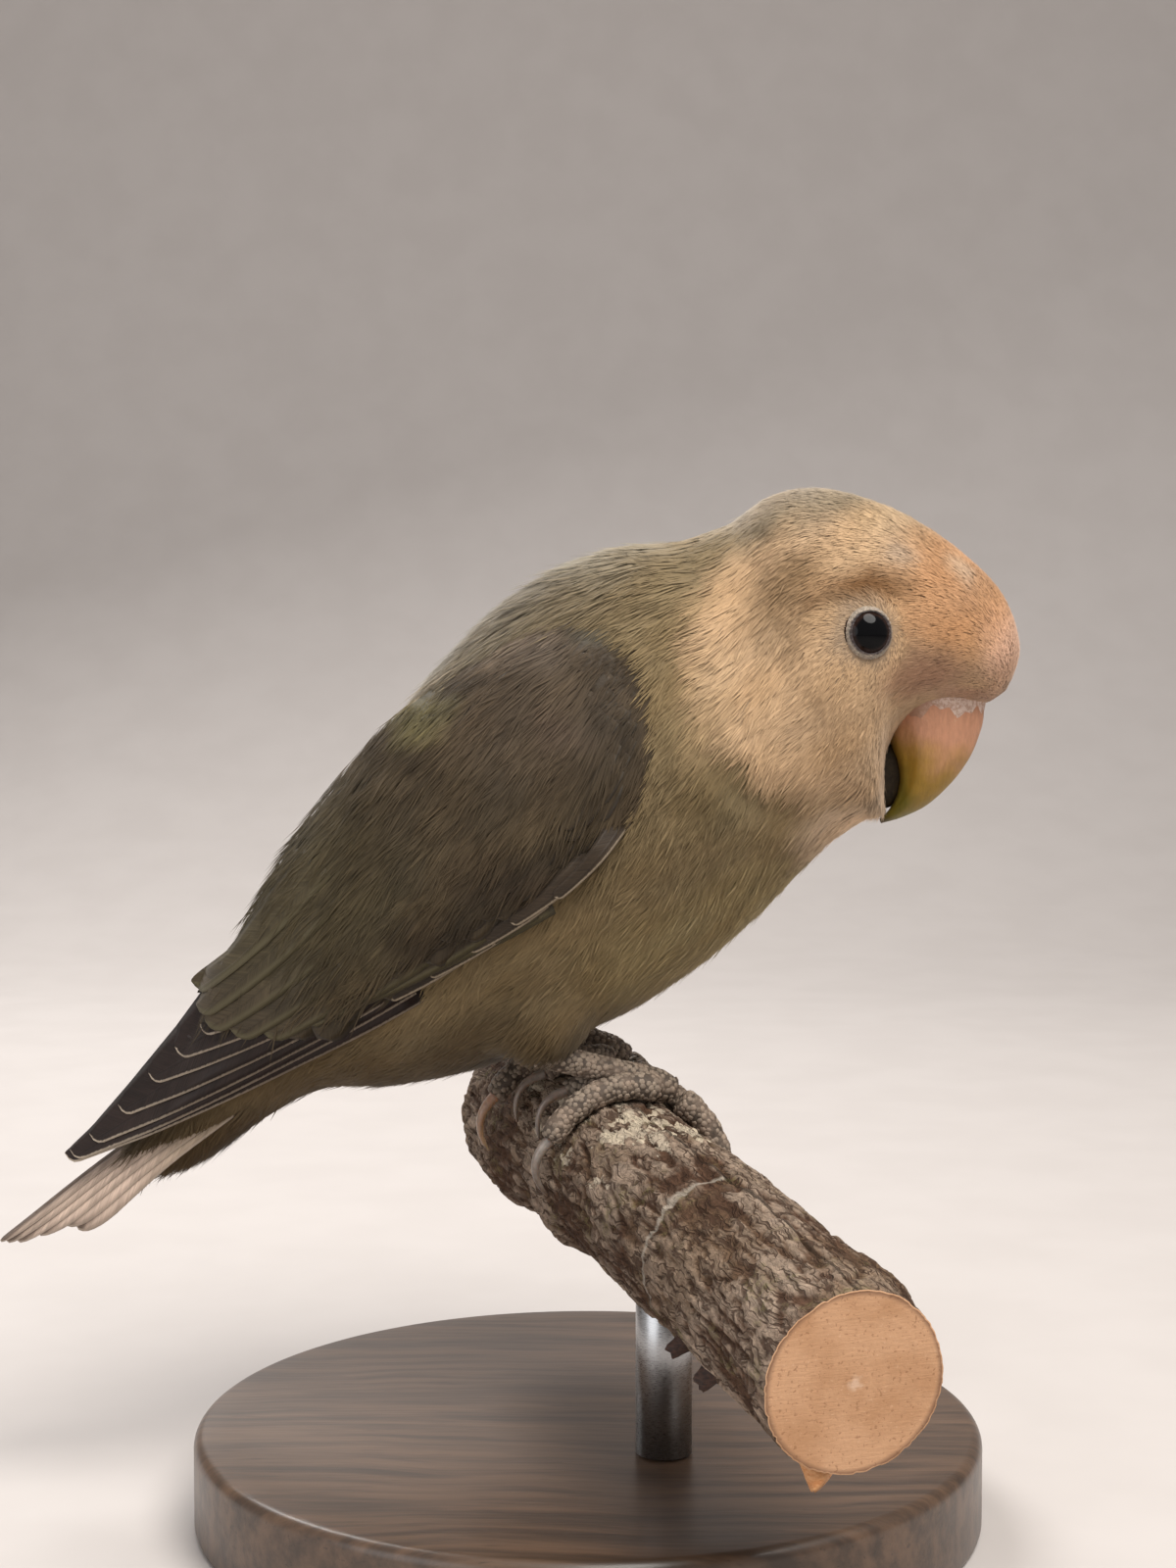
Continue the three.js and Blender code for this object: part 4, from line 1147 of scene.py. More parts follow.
def build_coat():
    """The tufts of the body, neck and head: each one's size, the way it lies and its tone."""
    draw = np.random.default_rng(100)
    place, angle, read = scatter(tuft_density(), draw)
    count = len(place)
    roots, outward, forward = read(skin), unit(read(skin_out)), unit(read(lie))
    rest = folded(unturned_body(place, angle))
    thigh = np.clip(read(push[..., None])[:, 0] / 3.0, 0, 1)
    sideways = unit(np.cross(outward, forward))
    head, face = smooth(place, 12.0, 15.0), smooth(place, 16.5, 20.0)
    mantle = smooth(np.sin(angle), 0.45, 0.8) * (1 - smooth(place, 10.5, 12.5))
    tail_end = 1 - smooth(place, 0.5, 3.0)
    under = draw.random(count) < 0.2

    long = 3.9 - 1.9 * head - 0.85 * face + 3.4 * mantle + 1.8 * tail_end
    wide = 0.235 - 0.055 * head - 0.035 * face + 0.05 * mantle
    tilt = np.radians(6.5 + 1.0 * face - 1.5 * mantle)
    # beside the wing's front edge the tufts only just lap over it
    to_wing = np.maximum(edge_distance(rest[:, 0], rest[:, 2], FRONT_EDGE), 0)
    front = bell(edge_distance(rest[:, 0], rest[:, 2], BREAST_EDGE), 3.0) * (mantle < 0.5)
    long = np.minimum(long, np.where(mantle < 0.5, to_wing + 1.6 + 1.8 * front, 9))
    tilt = tilt + np.radians(8) * front
    # round the eye they are short and point away from it
    for hand in (-1, 1):
        away, outwards, near = from_eye(roots, hand)
        close = np.where(near, 1 - smooth(away, 3.6, 8.0), 0)
        long = long * (1 - 0.55 * close)
        wide = wide * (1 - 0.25 * close)
        forward = unit(forward + outwards * (1.3 * close)[:, None])
    # they lie in locks, a little uneven, and hang down over the thighs
    bend = (smooth_noise(roots, 8.0, 31) - 0.5) * 0.42 + (smooth_noise(roots, 2.6, 32) - 0.5) * 0.34
    bend = bend * (1 - 0.4 * head) + draw.normal(0, 0.08, count)
    forward = unit(forward + sideways * bend[:, None] + np.array([-0.25, 0, -0.75]) * thigh[:, None])
    forward = unit(forward - (forward * outward).sum(1, keepdims=True) * outward)
    lock = smooth_noise(roots, 3.4, 33)
    tilt = tilt * draw.uniform(0.7, 1.2, count) * (0.85 + 0.3 * lock) * np.where(under, 0.6, 1)
    tilt = np.where(draw.random(count) < 0.02, tilt + np.radians(7), tilt)
    rise = forward * np.cos(tilt)[:, None] + outward * np.sin(tilt)[:, None]
    up = unit(np.cross(rise, np.cross(outward, rise)))
    size = np.stack([long * draw.uniform(0.7, 1.2, count) * np.where(under, 1.15, 1),
                     wide * draw.uniform(0.7, 1.25, count) * np.where(under, 1.9, 1),
                     wide * draw.uniform(0.7, 1.1, count)], 1)
    tone = (0.5 + (smooth_noise(roots, 6.0, 41) - 0.5) * 0.3 + (lock - 0.5) * 0.2
            + draw.normal(0, 0.15, count) - 0.08 * under)
    marks = {"rest_place": rest, "tone": np.clip(tone, 0, 1), "warm": smooth_noise(roots, 9.0, 43)}
    root_uv = unwrap(place, angle)
    coat_material = tuft_material("body feathers", plumage, 0.86, 1.12, 0.26, 0.2)
    pieces = math.ceil(count / COAT_PIECE)
    for number, part in enumerate(np.array_split(np.arange(count), pieces)):
        own_marks = {label: value[part] for label, value in marks.items()}
        plant(f"coat_{number + 1}", roots[part], rise[part], up[part], size[part], root_uv[part],
              own_marks, coat_material, coat_slot(place[part].mean()), 100 + number)


build_coat()


def build_wing_down(side, count, seed, material):
    """Fine tufts over a wing's coverts, which soften their edges."""
    draw = np.random.default_rng(seed)
    flat = np.stack([draw.uniform(-53, 9.5, count), draw.uniform(64, 120, count)], 1)
    x, z = flat.T
    lower, rear = edge_distance(x, z, LOWER_EDGE), smooth(rearward(x, z), -58, -40)
    keep = inside_wing(x, z) & (draw.random(count) > 0.93 * rear) & (lower > 0.6)
    flat, lower = flat[keep], lower[keep]
    x, z = flat.T
    count = len(flat)
    rise = wing_rise(x, z)
    place, angle = side_place(x, z, rise)
    at = unturned_body(place, angle, rise - 0.1)
    heading = down_heading(place, angle, lower) + draw.normal(0, 0.09, count)
    heading = heading + (smooth_noise(at, 6.0, 61) - 0.5) * 0.4 + (smooth_noise(at, 2.4, 62) - 0.5) * 0.3
    ahead = unturned_body(*step_along(place, angle, heading, 1.0, rise), rise)
    forward = unit(ahead - unturned_body(place, angle, rise))
    dp, da = surface_ways(place, angle, rise)
    outward = unit(np.cross(da, dp))
    outward *= np.sign((outward * (at - [-15, 0, 92])).sum(1, keepdims=True))
    lock = smooth_noise(at, 3.6, 63)
    tilt = np.radians(draw.uniform(0.5, 3.5, count)) * (0.6 + 0.9 * lock)
    aim = forward * np.cos(tilt)[:, None] + outward * np.sin(tilt)[:, None]
    mirror = [1, -1 if side == "left" else 1, 1]
    long = np.minimum(draw.uniform(3.5, 7.5, count), 1.5 + lower * 1.3)
    size = np.stack([long, draw.uniform(0.16, 0.36, count), draw.uniform(0.14, 0.24, count)], 1)
    tone = np.clip(0.5 + (smooth_noise(at, 7.0, 64) - 0.5) * 0.7 + (lock - 0.5) * 0.5
                   + draw.normal(0, 0.16, count) + 0.5 * (draw.random(count) < 0.04), 0, 1.2)
    marks = {"tone": tone, "warm": smooth_noise(at, 9.0, 65)}
    plant(f"wing_{side}_down", at * mirror, aim * mirror, outward * mirror, size,
          unwrap(place, angle if side == "right" else math.pi - angle), marks, material, "wing_coverts", seed)


down_material = tuft_material("wing down", wing_colour, 0.85, 1.3, 0.36, 0.06)
for number, wing in enumerate(("right", "left")):
    build_wing_down(wing, 30000, 210 + number, down_material)

# The eyes

# The lid, from its rim outwards: how far beyond the opening, and how high over the ball, each row lies.
LID = ((-0.08, -0.2), (-0.04, 0.1), (0.10, 0.25), (0.32, 0.28), (0.50, 0.34), (0.72, 0.28), (0.86, 0.0))
LID_BACK = [(3.62, 0.7), (3.66, -1.2), (3.0, -1.2)]  # radius and height where it goes under the feathers
LID_BEADS = ((3, 30, 0.07), (5, 34, 0.09))  # the row of the profile, the number of beads and their height


def eye_material():
    n = Material("eye", 0.06, Coat_Weight=0.04, Coat_Roughness=0.02, Specular_IOR_Level=0.10)
    brown = n.shade((0.022, 0.011, 0.008), n.noise(n.place(), 2.2, 3.0), 0.6, 1.3)
    return n.done(n.laid((0.0025, 0.0025, 0.003), brown, n.attribute("from_axis"), 0.5, 0.62))


def lid_material():
    """Bare beaded skin: dark at the lid's rim, pale round it, browner towards the feathers."""
    n = Material("eye ring", 0.6, Subsurface_Weight=0.08)
    bead = n.add("ShaderNodeTexVoronoi", {"Vector": n.place(), "Scale": 2.9}).outputs["Distance"]
    round_bead = n.math("SUBTRACT", 1.0, bead)
    away = n.math("SUBTRACT", n.attribute("from_axis"), 0.08)
    spread = n.math("MULTIPLY_ADD", n.noise(n.place(), 0.5, 3.0), 0.16, away)
    look = n.laid((0.050, 0.032, 0.030), (0.42, 0.335, 0.26), spread, 1.01, 1.13)
    look = n.laid(look, (0.30, 0.215, 0.145), spread, 1.26, 1.42)
    return n.done(n.shade(look, round_bead, 0.68, 1.12, 0.35, 0.95), round_bead, 0.9, 0.16)


def build_eye(side, hand):
    """The ball, which is dark in the middle and brown round it, and the lid with its ring of beads."""
    centre, axis = eye_axis(hand)
    across = unit(np.cross([0, 0, 1.0], axis))
    up = np.cross(axis, across)

    def revolve(profile, sides, squash=1.0):
        a = round_angles(sides)[:, None]
        return np.array([
            centre + axis * height + radius * (np.cos(a) * across * squash + np.sin(a) * up)
            for radius, height in profile])

    def from_axis(points, radius):
        off = points - centre
        return np.linalg.norm(off - (off @ axis)[:, None] * axis, axis=1) / radius, off @ axis

    def on_ball(beyond, over):
        radius, reach = EYE_OPENING + beyond, EYE_RADIUS + over
        return radius, math.sqrt(max(reach * reach - radius * radius, 0.01))

    angles = np.linspace(0.03, math.pi - 0.03, 40)
    ball = revolve([(EYE_RADIUS * math.sin(a), EYE_RADIUS * math.cos(a)) for a in angles], 64)
    points, faces = closed_rings(ball)
    eye = make_mesh(f"eye_{side}_ball", points, faces, eye_mat)
    away, height = from_axis(points, EYE_RADIUS)
    paint(eye, "from_axis", np.where(height > 0, away, 1.0))
    settle(eye, "eye", f"eye_{side}")

    ring = revolve([on_ball(*row) for row in LID] + LID_BACK, 96, 0.91)
    rings, sides = ring.shape[:2]
    for row, beads, high in LID_BEADS:
        ring[row] += axis * (high * np.cos(round_angles(sides) * beads + row))[:, None]
    points, faces = ring.reshape(-1, 3), ring_faces(rings, sides)
    back = (rings - 1) * sides
    faces += [(back + s, back + (s + 1) % sides, (s + 1) % sides, s) for s in range(sides)]
    lid = make_mesh(f"eye_{side}_ring", points, facing_out(points, faces), lid_mat)
    paint(lid, "from_axis", from_axis(points, EYE_OPENING)[0])
    settle(lid, "head_feathers")


eye_mat, lid_mat = eye_material(), lid_material()
for eye_side, eye_hand in (("right", -1), ("left", 1)):
    build_eye(eye_side, eye_hand)

# The bill

# From the forehead to the tip: the outer edge (x, z), the inner edge (x, z) and half the width.
UPPER_BILL = np.array([
    [53.2, 109.4, 41.0, 109.0, 5.3],
    [53.2, 105.2, 40.4, 104.2, 5.4],
    [52.5, 102.4, 40.7, 101.8, 5.1],
    [51.3, 99.6, 41.5, 99.4, 4.7],
    [49.0, 96.4, 41.9, 96.8, 3.9],
    [45.8, 93.4, 41.6, 94.6, 2.8],
    [42.4, 91.7, 40.7, 92.7, 1.6],
    [39.7, 90.9, 39.5, 91.5, 0.5],
])
# From the throat to the tip: the upper edge (x, z), the lower edge (x, z) and half the width.
LOWER_BILL = np.array([
    [34.6, 103.2, 33.8, 95.0, 4.0],
    [38.4, 102.8, 37.6, 93.4, 3.9],
    [41.0, 102.2, 40.6, 93.0, 2.9],
    [42.8, 100.4, 42.3, 94.6, 1.9],
])


def bill_rings(table, places, sides, ridge, square):
    """Rings of points over a bill's table, narrower to its ridge, and the angles round them."""
    row = between(table, places)
    centre, up = halves(row)
    a = round_angles(sides)
    c, s = np.cos(a), np.sin(a)
    x, z = (centre[:, k:k + 1] + up[:, k:k + 1] * s for k in (0, 1))
    y = np.sign(c) * np.abs(c) ** square * row[:, 4:5] * (1 - ridge * s)
    return np.stack([x, y, z], -1), a


def upper_bill_material():
    """Horn-pink above, ochre down the middle and dark olive along the cutting edge and tip."""
    n = Material("upper bill", 0.45, Specular_IOR_Level=0.3, Subsurface_Weight=0.08,
                 Subsurface_Radius=(0.002, 0.001, 0.0005))
    down, inner, place = n.attribute("down_bill"), n.attribute("inner_edge"), n.place()
    shift = n.math("MULTIPLY_ADD", n.noise(place, 0.35, 3.0), 0.25, n.math("SUBTRACT", down, 0.125))
    shift = n.math("MULTIPLY_ADD", inner, 0.26, shift)
    look = n.laid((0.50, 0.250, 0.150), (0.31, 0.180, 0.024), shift, 0.24, 0.62)
    look = n.laid(look, (0.14, 0.115, 0.012), shift, 0.58, 0.9)
    look = n.laid(look, (0.07, 0.045, 0.018), down, 0.84, 1.0)
    look = n.laid(look, (0.12, 0.08, 0.014), inner, 0.72, 1.0, 0.0, 0.6)
    rows = n.noise(place, 1.0, 4.0, 0.6, (2.2, 0.5, 0.6))
    fine = n.noise(place, 3.5, 3.0, 0.6)
    flake = n.math("SUBTRACT", n.noise(place, 0.9, 4.0, 0.7), down)
    look = n.laid(n.shade(look, rows, 0.9, 1.1), (0.60, 0.38, 0.25), flake, 0.42, 0.62, 0.0, 0.5)
    return n.done(look, n.math("MULTIPLY_ADD", fine, 0.35, rows), 0.4, 0.14)


# Painted shade: the lower bill is near black, darker than its own horn colour, standing for the shade of the
# mouth under the upper bill.
def lower_bill_shade_material():
    n = Material("lower bill", 0.6, Specular_IOR_Level=0.2)
    rows = n.noise(n.place(), 1.2, 4.0, 0.6)
    return n.done(n.laid((0.013, 0.008, 0.004), (0.030, 0.020, 0.009), rows, 0.3, 0.7), rows, 0.3, 0.1)


def cere_material():
    n = Material("cere", 0.6, Subsurface_Weight=0.1)
    fine = n.noise(n.place(), 1.8, 4.0, 0.7)
    pale = n.laid((0.46, 0.280, 0.205), (0.68, 0.510, 0.420), fine, 0.38, 0.6)
    ahead = n.math("MULTIPLY_ADD", fine, 4.0, n.parts(n.place())[0])
    return n.done(n.laid((0.40, 0.215, 0.135), pale, ahead, 45.0, 49.5), fine, 0.8, 0.2)


def build_bill():
    count, sides = 60, 48
    share = np.linspace(0, len(UPPER_BILL) - 1, count) / (len(UPPER_BILL) - 1)
    rings, a = bill_rings(UPPER_BILL, np.linspace(0, len(UPPER_BILL) - 1, count), sides, 0.3, 0.92)
    # a shallow groove runs along above the cutting edge
    groove = 0.16 * bell(np.sin(a)[None] + 0.62, 0.2) * np.sin(math.pi * np.clip(share, 0, 1))[:, None]
    rings[..., 1] *= 1 - groove
    piece = closed_piece("upper_bill", turned(rings), upper_bill_material())
    inner = np.clip((0.25 - np.sin(a)) / 1.25, 0, 1)
    paint(piece, "down_bill", np.append(np.repeat(share, sides), [0, 1]))
    paint(piece, "inner_edge", np.append(np.tile(inner, count), [0.5, 0.5]))
    settle(piece, "bill_upper", "bill_upper")

    rings, _ = bill_rings(LOWER_BILL, np.linspace(0, len(LOWER_BILL) - 1, 24), 32, -0.2, 0.95)
    settle(closed_piece("lower_bill", turned(rings), lower_bill_shade_material()), "bill_lower", "bill_lower")

    # the cere, a narrow uneven fleshy streak where the bill leaves the feathers
    places = np.linspace(0, 1.4, 22)
    rings, a = bill_rings(UPPER_BILL, places, 96, 0.3, 0.92)
    t = (places / 1.4)[:, None]
    ragged = 0.57 + 0.06 * np.sin(a * 3 + 1) + 0.08 * np.sin(a * 7 + 2) + 0.06 * np.sin(a * 17)
    over = smooth(np.sin(a), -0.95, -0.4)
    swell = 0.55 * np.clip(1 - (t / ragged) ** 2, -1, 1) * over - 0.1 - (1 - over)
    rings += unit(rings - rings.mean(1, keepdims=True)) * swell[..., None]
    settle(closed_piece("cere", turned(rings), cere_material()), "bill_upper")


build_bill()

# The branch

BRANCH = np.array([
    [27.8, -78.2, 37.6, 10.4],
    [20.6, -56.0, 40.3, 10.6],
    [12.6, -33.6, 42.5, 10.7],
    [5.2, -11.7, 44.2, 10.8],
    [-1.2, 8.0, 45.2, 11.2],
    [-7.6, 27.6, 46.1, 11.6],
])
# Swellings: the share of the length, the degrees round, how high and how wide.
KNOTS = ((0.1, 62, 1.3, 5), (0.66, 210, 1.3, 6), (0.86, 235, 1.4, 7), (0.52, 80, 0.8, 6))
# Broken twigs: the share of the length, the degrees round, the thickness and how far they stand out.
STUBS = ((0.235, 236, 1.0, 1.6), (0.17, 232, 1.2, 1.8))
# The splinter under the cut, and its radius at each point.
SPLINTER = np.array([
    [24.6, -72.5, 31.5], [24.4, -74.2, 29.6], [24.2, -75.6, 28.0], [23.9, -76.8, 26.9], [23.6, -77.6, 26.0]])
SPLINTER_RADII = (2.6, 2.5, 1.9, 1.1, 0.2)
BRANCH_LENGTH = 112.0
BARK_RADIUS = 11.0  # about the branch's radius, which turns an angle round it into millimetres
END_RINGS = (0.985, 0.95, 0.9, 0.8, 0.68, 0.55, 0.42, 0.3, 0.2, 0.1)  # shares of the radius


def branch_frame(share):
    """Centre, radius, sideways (+X) and up directions at shares of the branch's length."""
    share = np.atleast_1d(np.asarray(share, float))
    row = along_row(BRANCH, share)
    ahead, behind = (along_row(BRANCH, np.clip(share + step, 0, 1))[:, :3] for step in (0.01, -0.01))
    along = unit(ahead - behind)
    side = -unit(np.cross([0, 0, 1.0], along))
    return row[:, :3], row[:, 3], side, np.cross(side, along)


SHARES = np.linspace(0, 1, 400)
SHARE_Y = branch_frame(SHARES)[0][:, 1]


def branch_share(y):
    return np.interp(y, SHARE_Y, SHARES)


def bark_radius(share, degrees):
    """The branch's radius with its knots."""
    share, degrees = np.broadcast_arrays(np.asarray(share, float), np.asarray(degrees, float))
    radius = branch_frame(share.ravel())[1].reshape(share.shape)
    total = radius.copy()
    for at, where, high, spread in KNOTS:
        turn = (degrees - where + 540) % 360 - 180
        away = np.hypot((share - at) * BRANCH_LENGTH, np.radians(turn) * radius)
        total = total + high * bell(away, spread)
    return total


def on_branch(share, degrees, height):
    """Points round the branch: degrees from its top towards +X, height over its middle line."""
    centre, _, side, up = branch_frame(share)
    a = np.radians(np.asarray(degrees, float))
    return centre + side * (height * np.sin(a))[:, None] + up * (height * np.cos(a))[:, None]


def bark_material():
    """Grey-brown bark with dark furrows, pale flakes where it is rubbed and spots of moss."""
    n = Material("bark", 0.88, Specular_IOR_Level=0.2)
    turn = n.attribute("bark_place", "Vector")
    along, around, relief = n.parts(turn)
    top, place = n.attribute("on_top"), n.place()
    broad = n.noise(place, 0.07, 3.0, 0.6)
    fine = n.noise(place, 1.1, 5.0, 0.7)
    streak = n.noise(turn, 1.0, 4.0, 0.65, (0.22, 0.9, 0.0))
    look = n.laid((0.085, 0.045, 0.027), (0.30, 0.225, 0.168), relief, -0.25, 0.22)
    look = n.laid(look, (0.33, 0.27, 0.22), relief, 0.25, 0.7, 0.0, 0.6)
    look = n.laid(look, (0.17, 0.11, 0.065), broad, 0.45, 0.65, 0.0, 0.5)
    look = n.shade(n.shade(look, streak, 0.72, 1.3), fine, 0.75, 1.25)
    # cracks wander along it, wide ones and small ones
    bend = n.add("ShaderNodeTexNoise", {"Vector": place, "Scale": 0.35}).outputs["Color"]
    woven = n.vector("ADD", turn, n.vector("SCALE", bend, 3.0))
    wide = n.far_from(n.noise(woven, 1.0, 2.0, 0.5, (0.11, 0.62, 0.0)), 0.5)
    small = n.far_from(n.noise(woven, 1.0, 1.0, 0.5, (0.34, 1.3, 0.0)), 0.5)
    split = n.math("MAXIMUM", n.slope(wide, 0.008, 0.035, 1.0, 0.0), n.slope(small, 0.006, 0.03, 0.4, 0.0))
    look = n.mix(n.math("MULTIPLY", split, 0.8), look, (0.050, 0.025, 0.015))
    # pale crust where it is rubbed, mostly on top
    crust = n.math("ADD", n.noise(turn, 1.0, 4.0, 0.62, (0.10, 0.22, 0.0)), n.math("MULTIPLY", fine, 0.25))
    crust = n.math("SUBTRACT", crust, n.math("MULTIPLY_ADD", top, -0.16, 0.83))
    pale = n.slope(crust, -0.01, 0.02, 0.0, 0.85)
    look = n.mix(pale, look, (0.56, 0.47, 0.36))
    # long bright flakes lie beside the foot
    chips = n.noise(turn, 1.0, 2.0, 0.5, (0.26, 0.52, 0.0))
    beside = n.slope(n.far_from(along, 54.0), 6.0, 15.0, 1.0, 0.0)
    chips = n.math("MULTIPLY", chips, n.math("MULTIPLY", beside, top))
    look = n.laid(look, (0.66, 0.56, 0.42), chips, 0.455, 0.48, 0.0, 0.9)
    # an old pale scar curves round the side
    scar = n.far_from(n.math("MULTIPLY_ADD", broad, 6.0, along), 38.0)
    scar = n.slope(n.math("MULTIPLY_ADD", fine, 0.9, scar), 0.6, 1.1, 0.75, 0.0)
    scar = n.math("MULTIPLY", scar, n.slope(around, 44.0, 50.0))
    look = n.mix(scar, look, (0.46, 0.40, 0.33))
    moss = n.slope(n.noise(place, 0.2, 3.0), 0.55, 0.66)
    moss = n.math("MULTIPLY", moss, n.slope(fine, 0.45, 0.62, 0.0, 0.5))
    look = n.mix(moss, look, (0.17, 0.15, 0.06))
    height = n.math("ADD", n.math("MULTIPLY_ADD", streak, 0.8, fine), n.math("MULTIPLY", pale, 0.6))
    return n.done(look, n.math("MULTIPLY_ADD", split, -0.9, height), 0.9, 0.5)


def cut_wood_material():
    """The sawn end: orange-brown wood with fine specks, a small pale pith and a thin dark rim."""
    n = Material("sawn wood", 0.66, Specular_IOR_Level=0.25)
    out = n.parts(n.attribute("bark_place", "Vector"))[2]
    place = n.place()
    broad, specks = n.noise(place, 0.16, 3.0), n.noise(place, 2.4, 2.0)
    rings = n.noise(n.joined(n.math("MULTIPLY_ADD", broad, 2.0, out)), 1.3, 3.0)
    star = n.math("ADD", out, n.math("MULTIPLY", n.noise(place, 1.3, 3.0), 1.6))
    look = n.laid((0.60, 0.35, 0.20), (0.50, 0.275, 0.145), broad, 0.35, 0.65)
    look = n.shade(look, rings, 0.97, 1.02)
    look = n.laid(look, (0.30, 0.145, 0.070), specks, 0.60, 0.70, 0.0, 0.6)
    look = n.laid(look, (0.70, 0.46, 0.30), specks, 0.26, 0.36, 0.4, 0.0)
    look = n.laid(look, (0.76, 0.56, 0.42), star, 1.1, 1.9, 0.55, 0.0)
    look = n.laid(look, (0.15, 0.075, 0.045), out, 9.3, 10.2, 0.0, 0.9)
    saw = n.noise(place, 1.0, 3.0, 0.6, (0.5, 1.0, 3.2))
    return n.done(look, n.math("MULTIPLY_ADD", specks, -0.6, saw), 0.35, 0.2)


def plain_wood(name, low, high):
    n = Material(name, 0.7)
    grain = n.noise(n.place(), 1.1, 4.0, 0.6, (1.0, 1.0, 2.4))
    return n.done(n.laid(low, high, grain, 0.35, 0.65), grain, 0.6, 0.3)


def furrowed(along, a):
    """Height of the bark in millimetres: furrows that run along the branch, finer cracks and lumps."""
    relief = np.zeros(len(along))
    for i, (s, x, y) in enumerate(zip(along, np.cos(a) * BARK_RADIUS, np.sin(a) * BARK_RADIUS)):
        furrow = noise.noise(Vector((s * 0.07, x * 0.30, y * 0.30)))
        crack = noise.noise(Vector((s * 0.20, x * 0.62 + 7, y * 0.62)))
        ring = noise.noise(Vector((s * 0.42, x * 0.13 + 3, y * 0.13)))
        lump = noise.noise(Vector((s * 0.06, x * 0.09, y * 0.09 + 5)))
        ridge = noise.turbulence(Vector((s * 0.16, x * 0.7, y * 0.7)), 3, False)
        relief[i] = 0.3 + 0.45 * lump + 0.35 * (ridge - 0.5) - 0.42 * math.exp(-(furrow / 0.07) ** 2)
        relief[i] -= 0.26 * math.exp(-(crack / 0.08) ** 2) + 0.16 * math.exp(-(ring / 0.06) ** 2)
    return relief


def build_branch():
    """The bark as rings along the branch, and each end as sawn wood, whose rings shrink to its centre."""
    rings, sides = ((300, 170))
    share, degrees = (g.ravel() for g in np.meshgrid(
        np.linspace(0, 1, rings), np.arange(sides) / sides * 360, indexing="ij"))
    a, along = np.radians(degrees), share * BRANCH_LENGTH
    relief = furrowed(along, a) * (0.3 + 0.7 * smooth(share, 0, 0.06))
    spots = on_branch(share, degrees, bark_radius(share, degrees) - 0.25 + relief).reshape(rings, sides, 3)
    points, info = [spots.reshape(-1, 3)], [np.stack([along, a * BARK_RADIUS, relief], 1)]
    faces = ring_faces(rings, sides)
    kinds = [0] * len(faces)
    for far, ring in enumerate((spots[0], spots[-1])):
        centre = ring.mean(0)
        previous = np.arange(sides) + far * (rings - 1) * sides
        for step, shrink in enumerate(END_RINGS):
            new = centre + (ring - centre) * shrink
            distance = np.linalg.norm(new - centre, axis=1)
            now = np.arange(sides) + sum(len(p) for p in points)
            points.append(new)
            info.append(np.stack([distance * 0, distance * 0, distance], 1))
            strip = np.stack([previous, now, np.roll(now, -1), np.roll(previous, -1)], 1)
            faces += (strip[:, ::-1] if far else strip).tolist()
            kinds += [0 if far and step == 0 else 1] * sides
            previous = now
        fan = np.stack([previous, np.full(sides, previous[-1] + 1), np.roll(previous, -1)], 1)
        faces += (fan[:, ::-1] if far else fan).tolist()
        kinds += [1] * sides
        points.append(centre[None])
        info.append(np.zeros((1, 3)))
    points = np.concatenate(points)
    piece = make_mesh("branch", points, facing_out(points, faces), bark_material(), cut_wood_material())
    piece.data.polygons.foreach_set("material_index", kinds)
    paint(piece, "bark_place", np.concatenate(info))
    top = np.cos(a) * (1 - smooth(np.abs(along - 72), 14, 40))
    paint(piece, "on_top", np.append(top, np.zeros(len(points) - len(top))))
    settle(piece, "bark", "perch_branch")


def build_twigs():
    """The broken twig stubs and the splinter under the cut."""
    stub_wood = plain_wood("twig stub", (0.022, 0.010, 0.007), (0.065, 0.028, 0.017))
    for number, (share, degrees, radius, out) in enumerate(STUBS):
        heights = float(bark_radius(share, degrees)) + np.array([-3, -0.3, 0.4, out * 0.7, out])
        line = np.concatenate([on_branch([share], degrees, np.array([h])) for h in heights])
        grid = limb(line, np.array([1.5, 1.25, 1.0, 0.95, 0.8]) * radius, 16)
        jag = np.random.default_rng(number).normal(0, 0.22, grid.shape[:2])
        grid[2:] += unit(line[-1] - line[0]) * jag[2:, :, None]
        settle(closed_piece(f"twig_stub_{number + 1}", grid, stub_wood), "bark")
    places = np.linspace(0, 4, 17)
    grid = limb(between(SPLINTER, places), np.interp(places, range(5), SPLINTER_RADII), 28)
    jag = np.random.default_rng(4).normal(0, 0.1, grid.shape[1])
    grid += np.array([0.3, 0, 1.0]) * jag[None, :, None]
    splinter_wood = plain_wood("splinter", (0.48, 0.20, 0.07), (0.62, 0.32, 0.14))
    settle(closed_piece("splinter", grid, splinter_wood), "bark")


build_branch()
build_twigs()

# The feet

# Each toe's root and tip: degrees round the branch and how far aside; and its size.
TOES = {
    "inner_front": ((36, 1.6), (94, 4.2), 0.92),
    "outer_front": ((36, -1.6), (112, -4.6), 1.0),
    "outer_rear": ((18, -1.9), (-60, -2.6), 1.0),
    "inner_rear": ((18, 1.8), (-30, 4.4), 0.86),
}
# Each leg's hand, where along the branch it stands, its ankle and the seed of its scales.
LEGS = {
    "right": (-1, -9.6, (-4.4, -12.4, 60.6), 31),
    "left": (1, 8.6, (-9.0, 12.4, 62.6), 37),
}
TOE_RADIUS, TARSUS_RADIUS, FOOT_ANGLE = 1.85, 2.0, 28.0
SCALE_SPACING, SCALE_SIZE = 0.56, 0.92
CLAW_TURN = 36.0  # degrees of the branch that a claw runs over


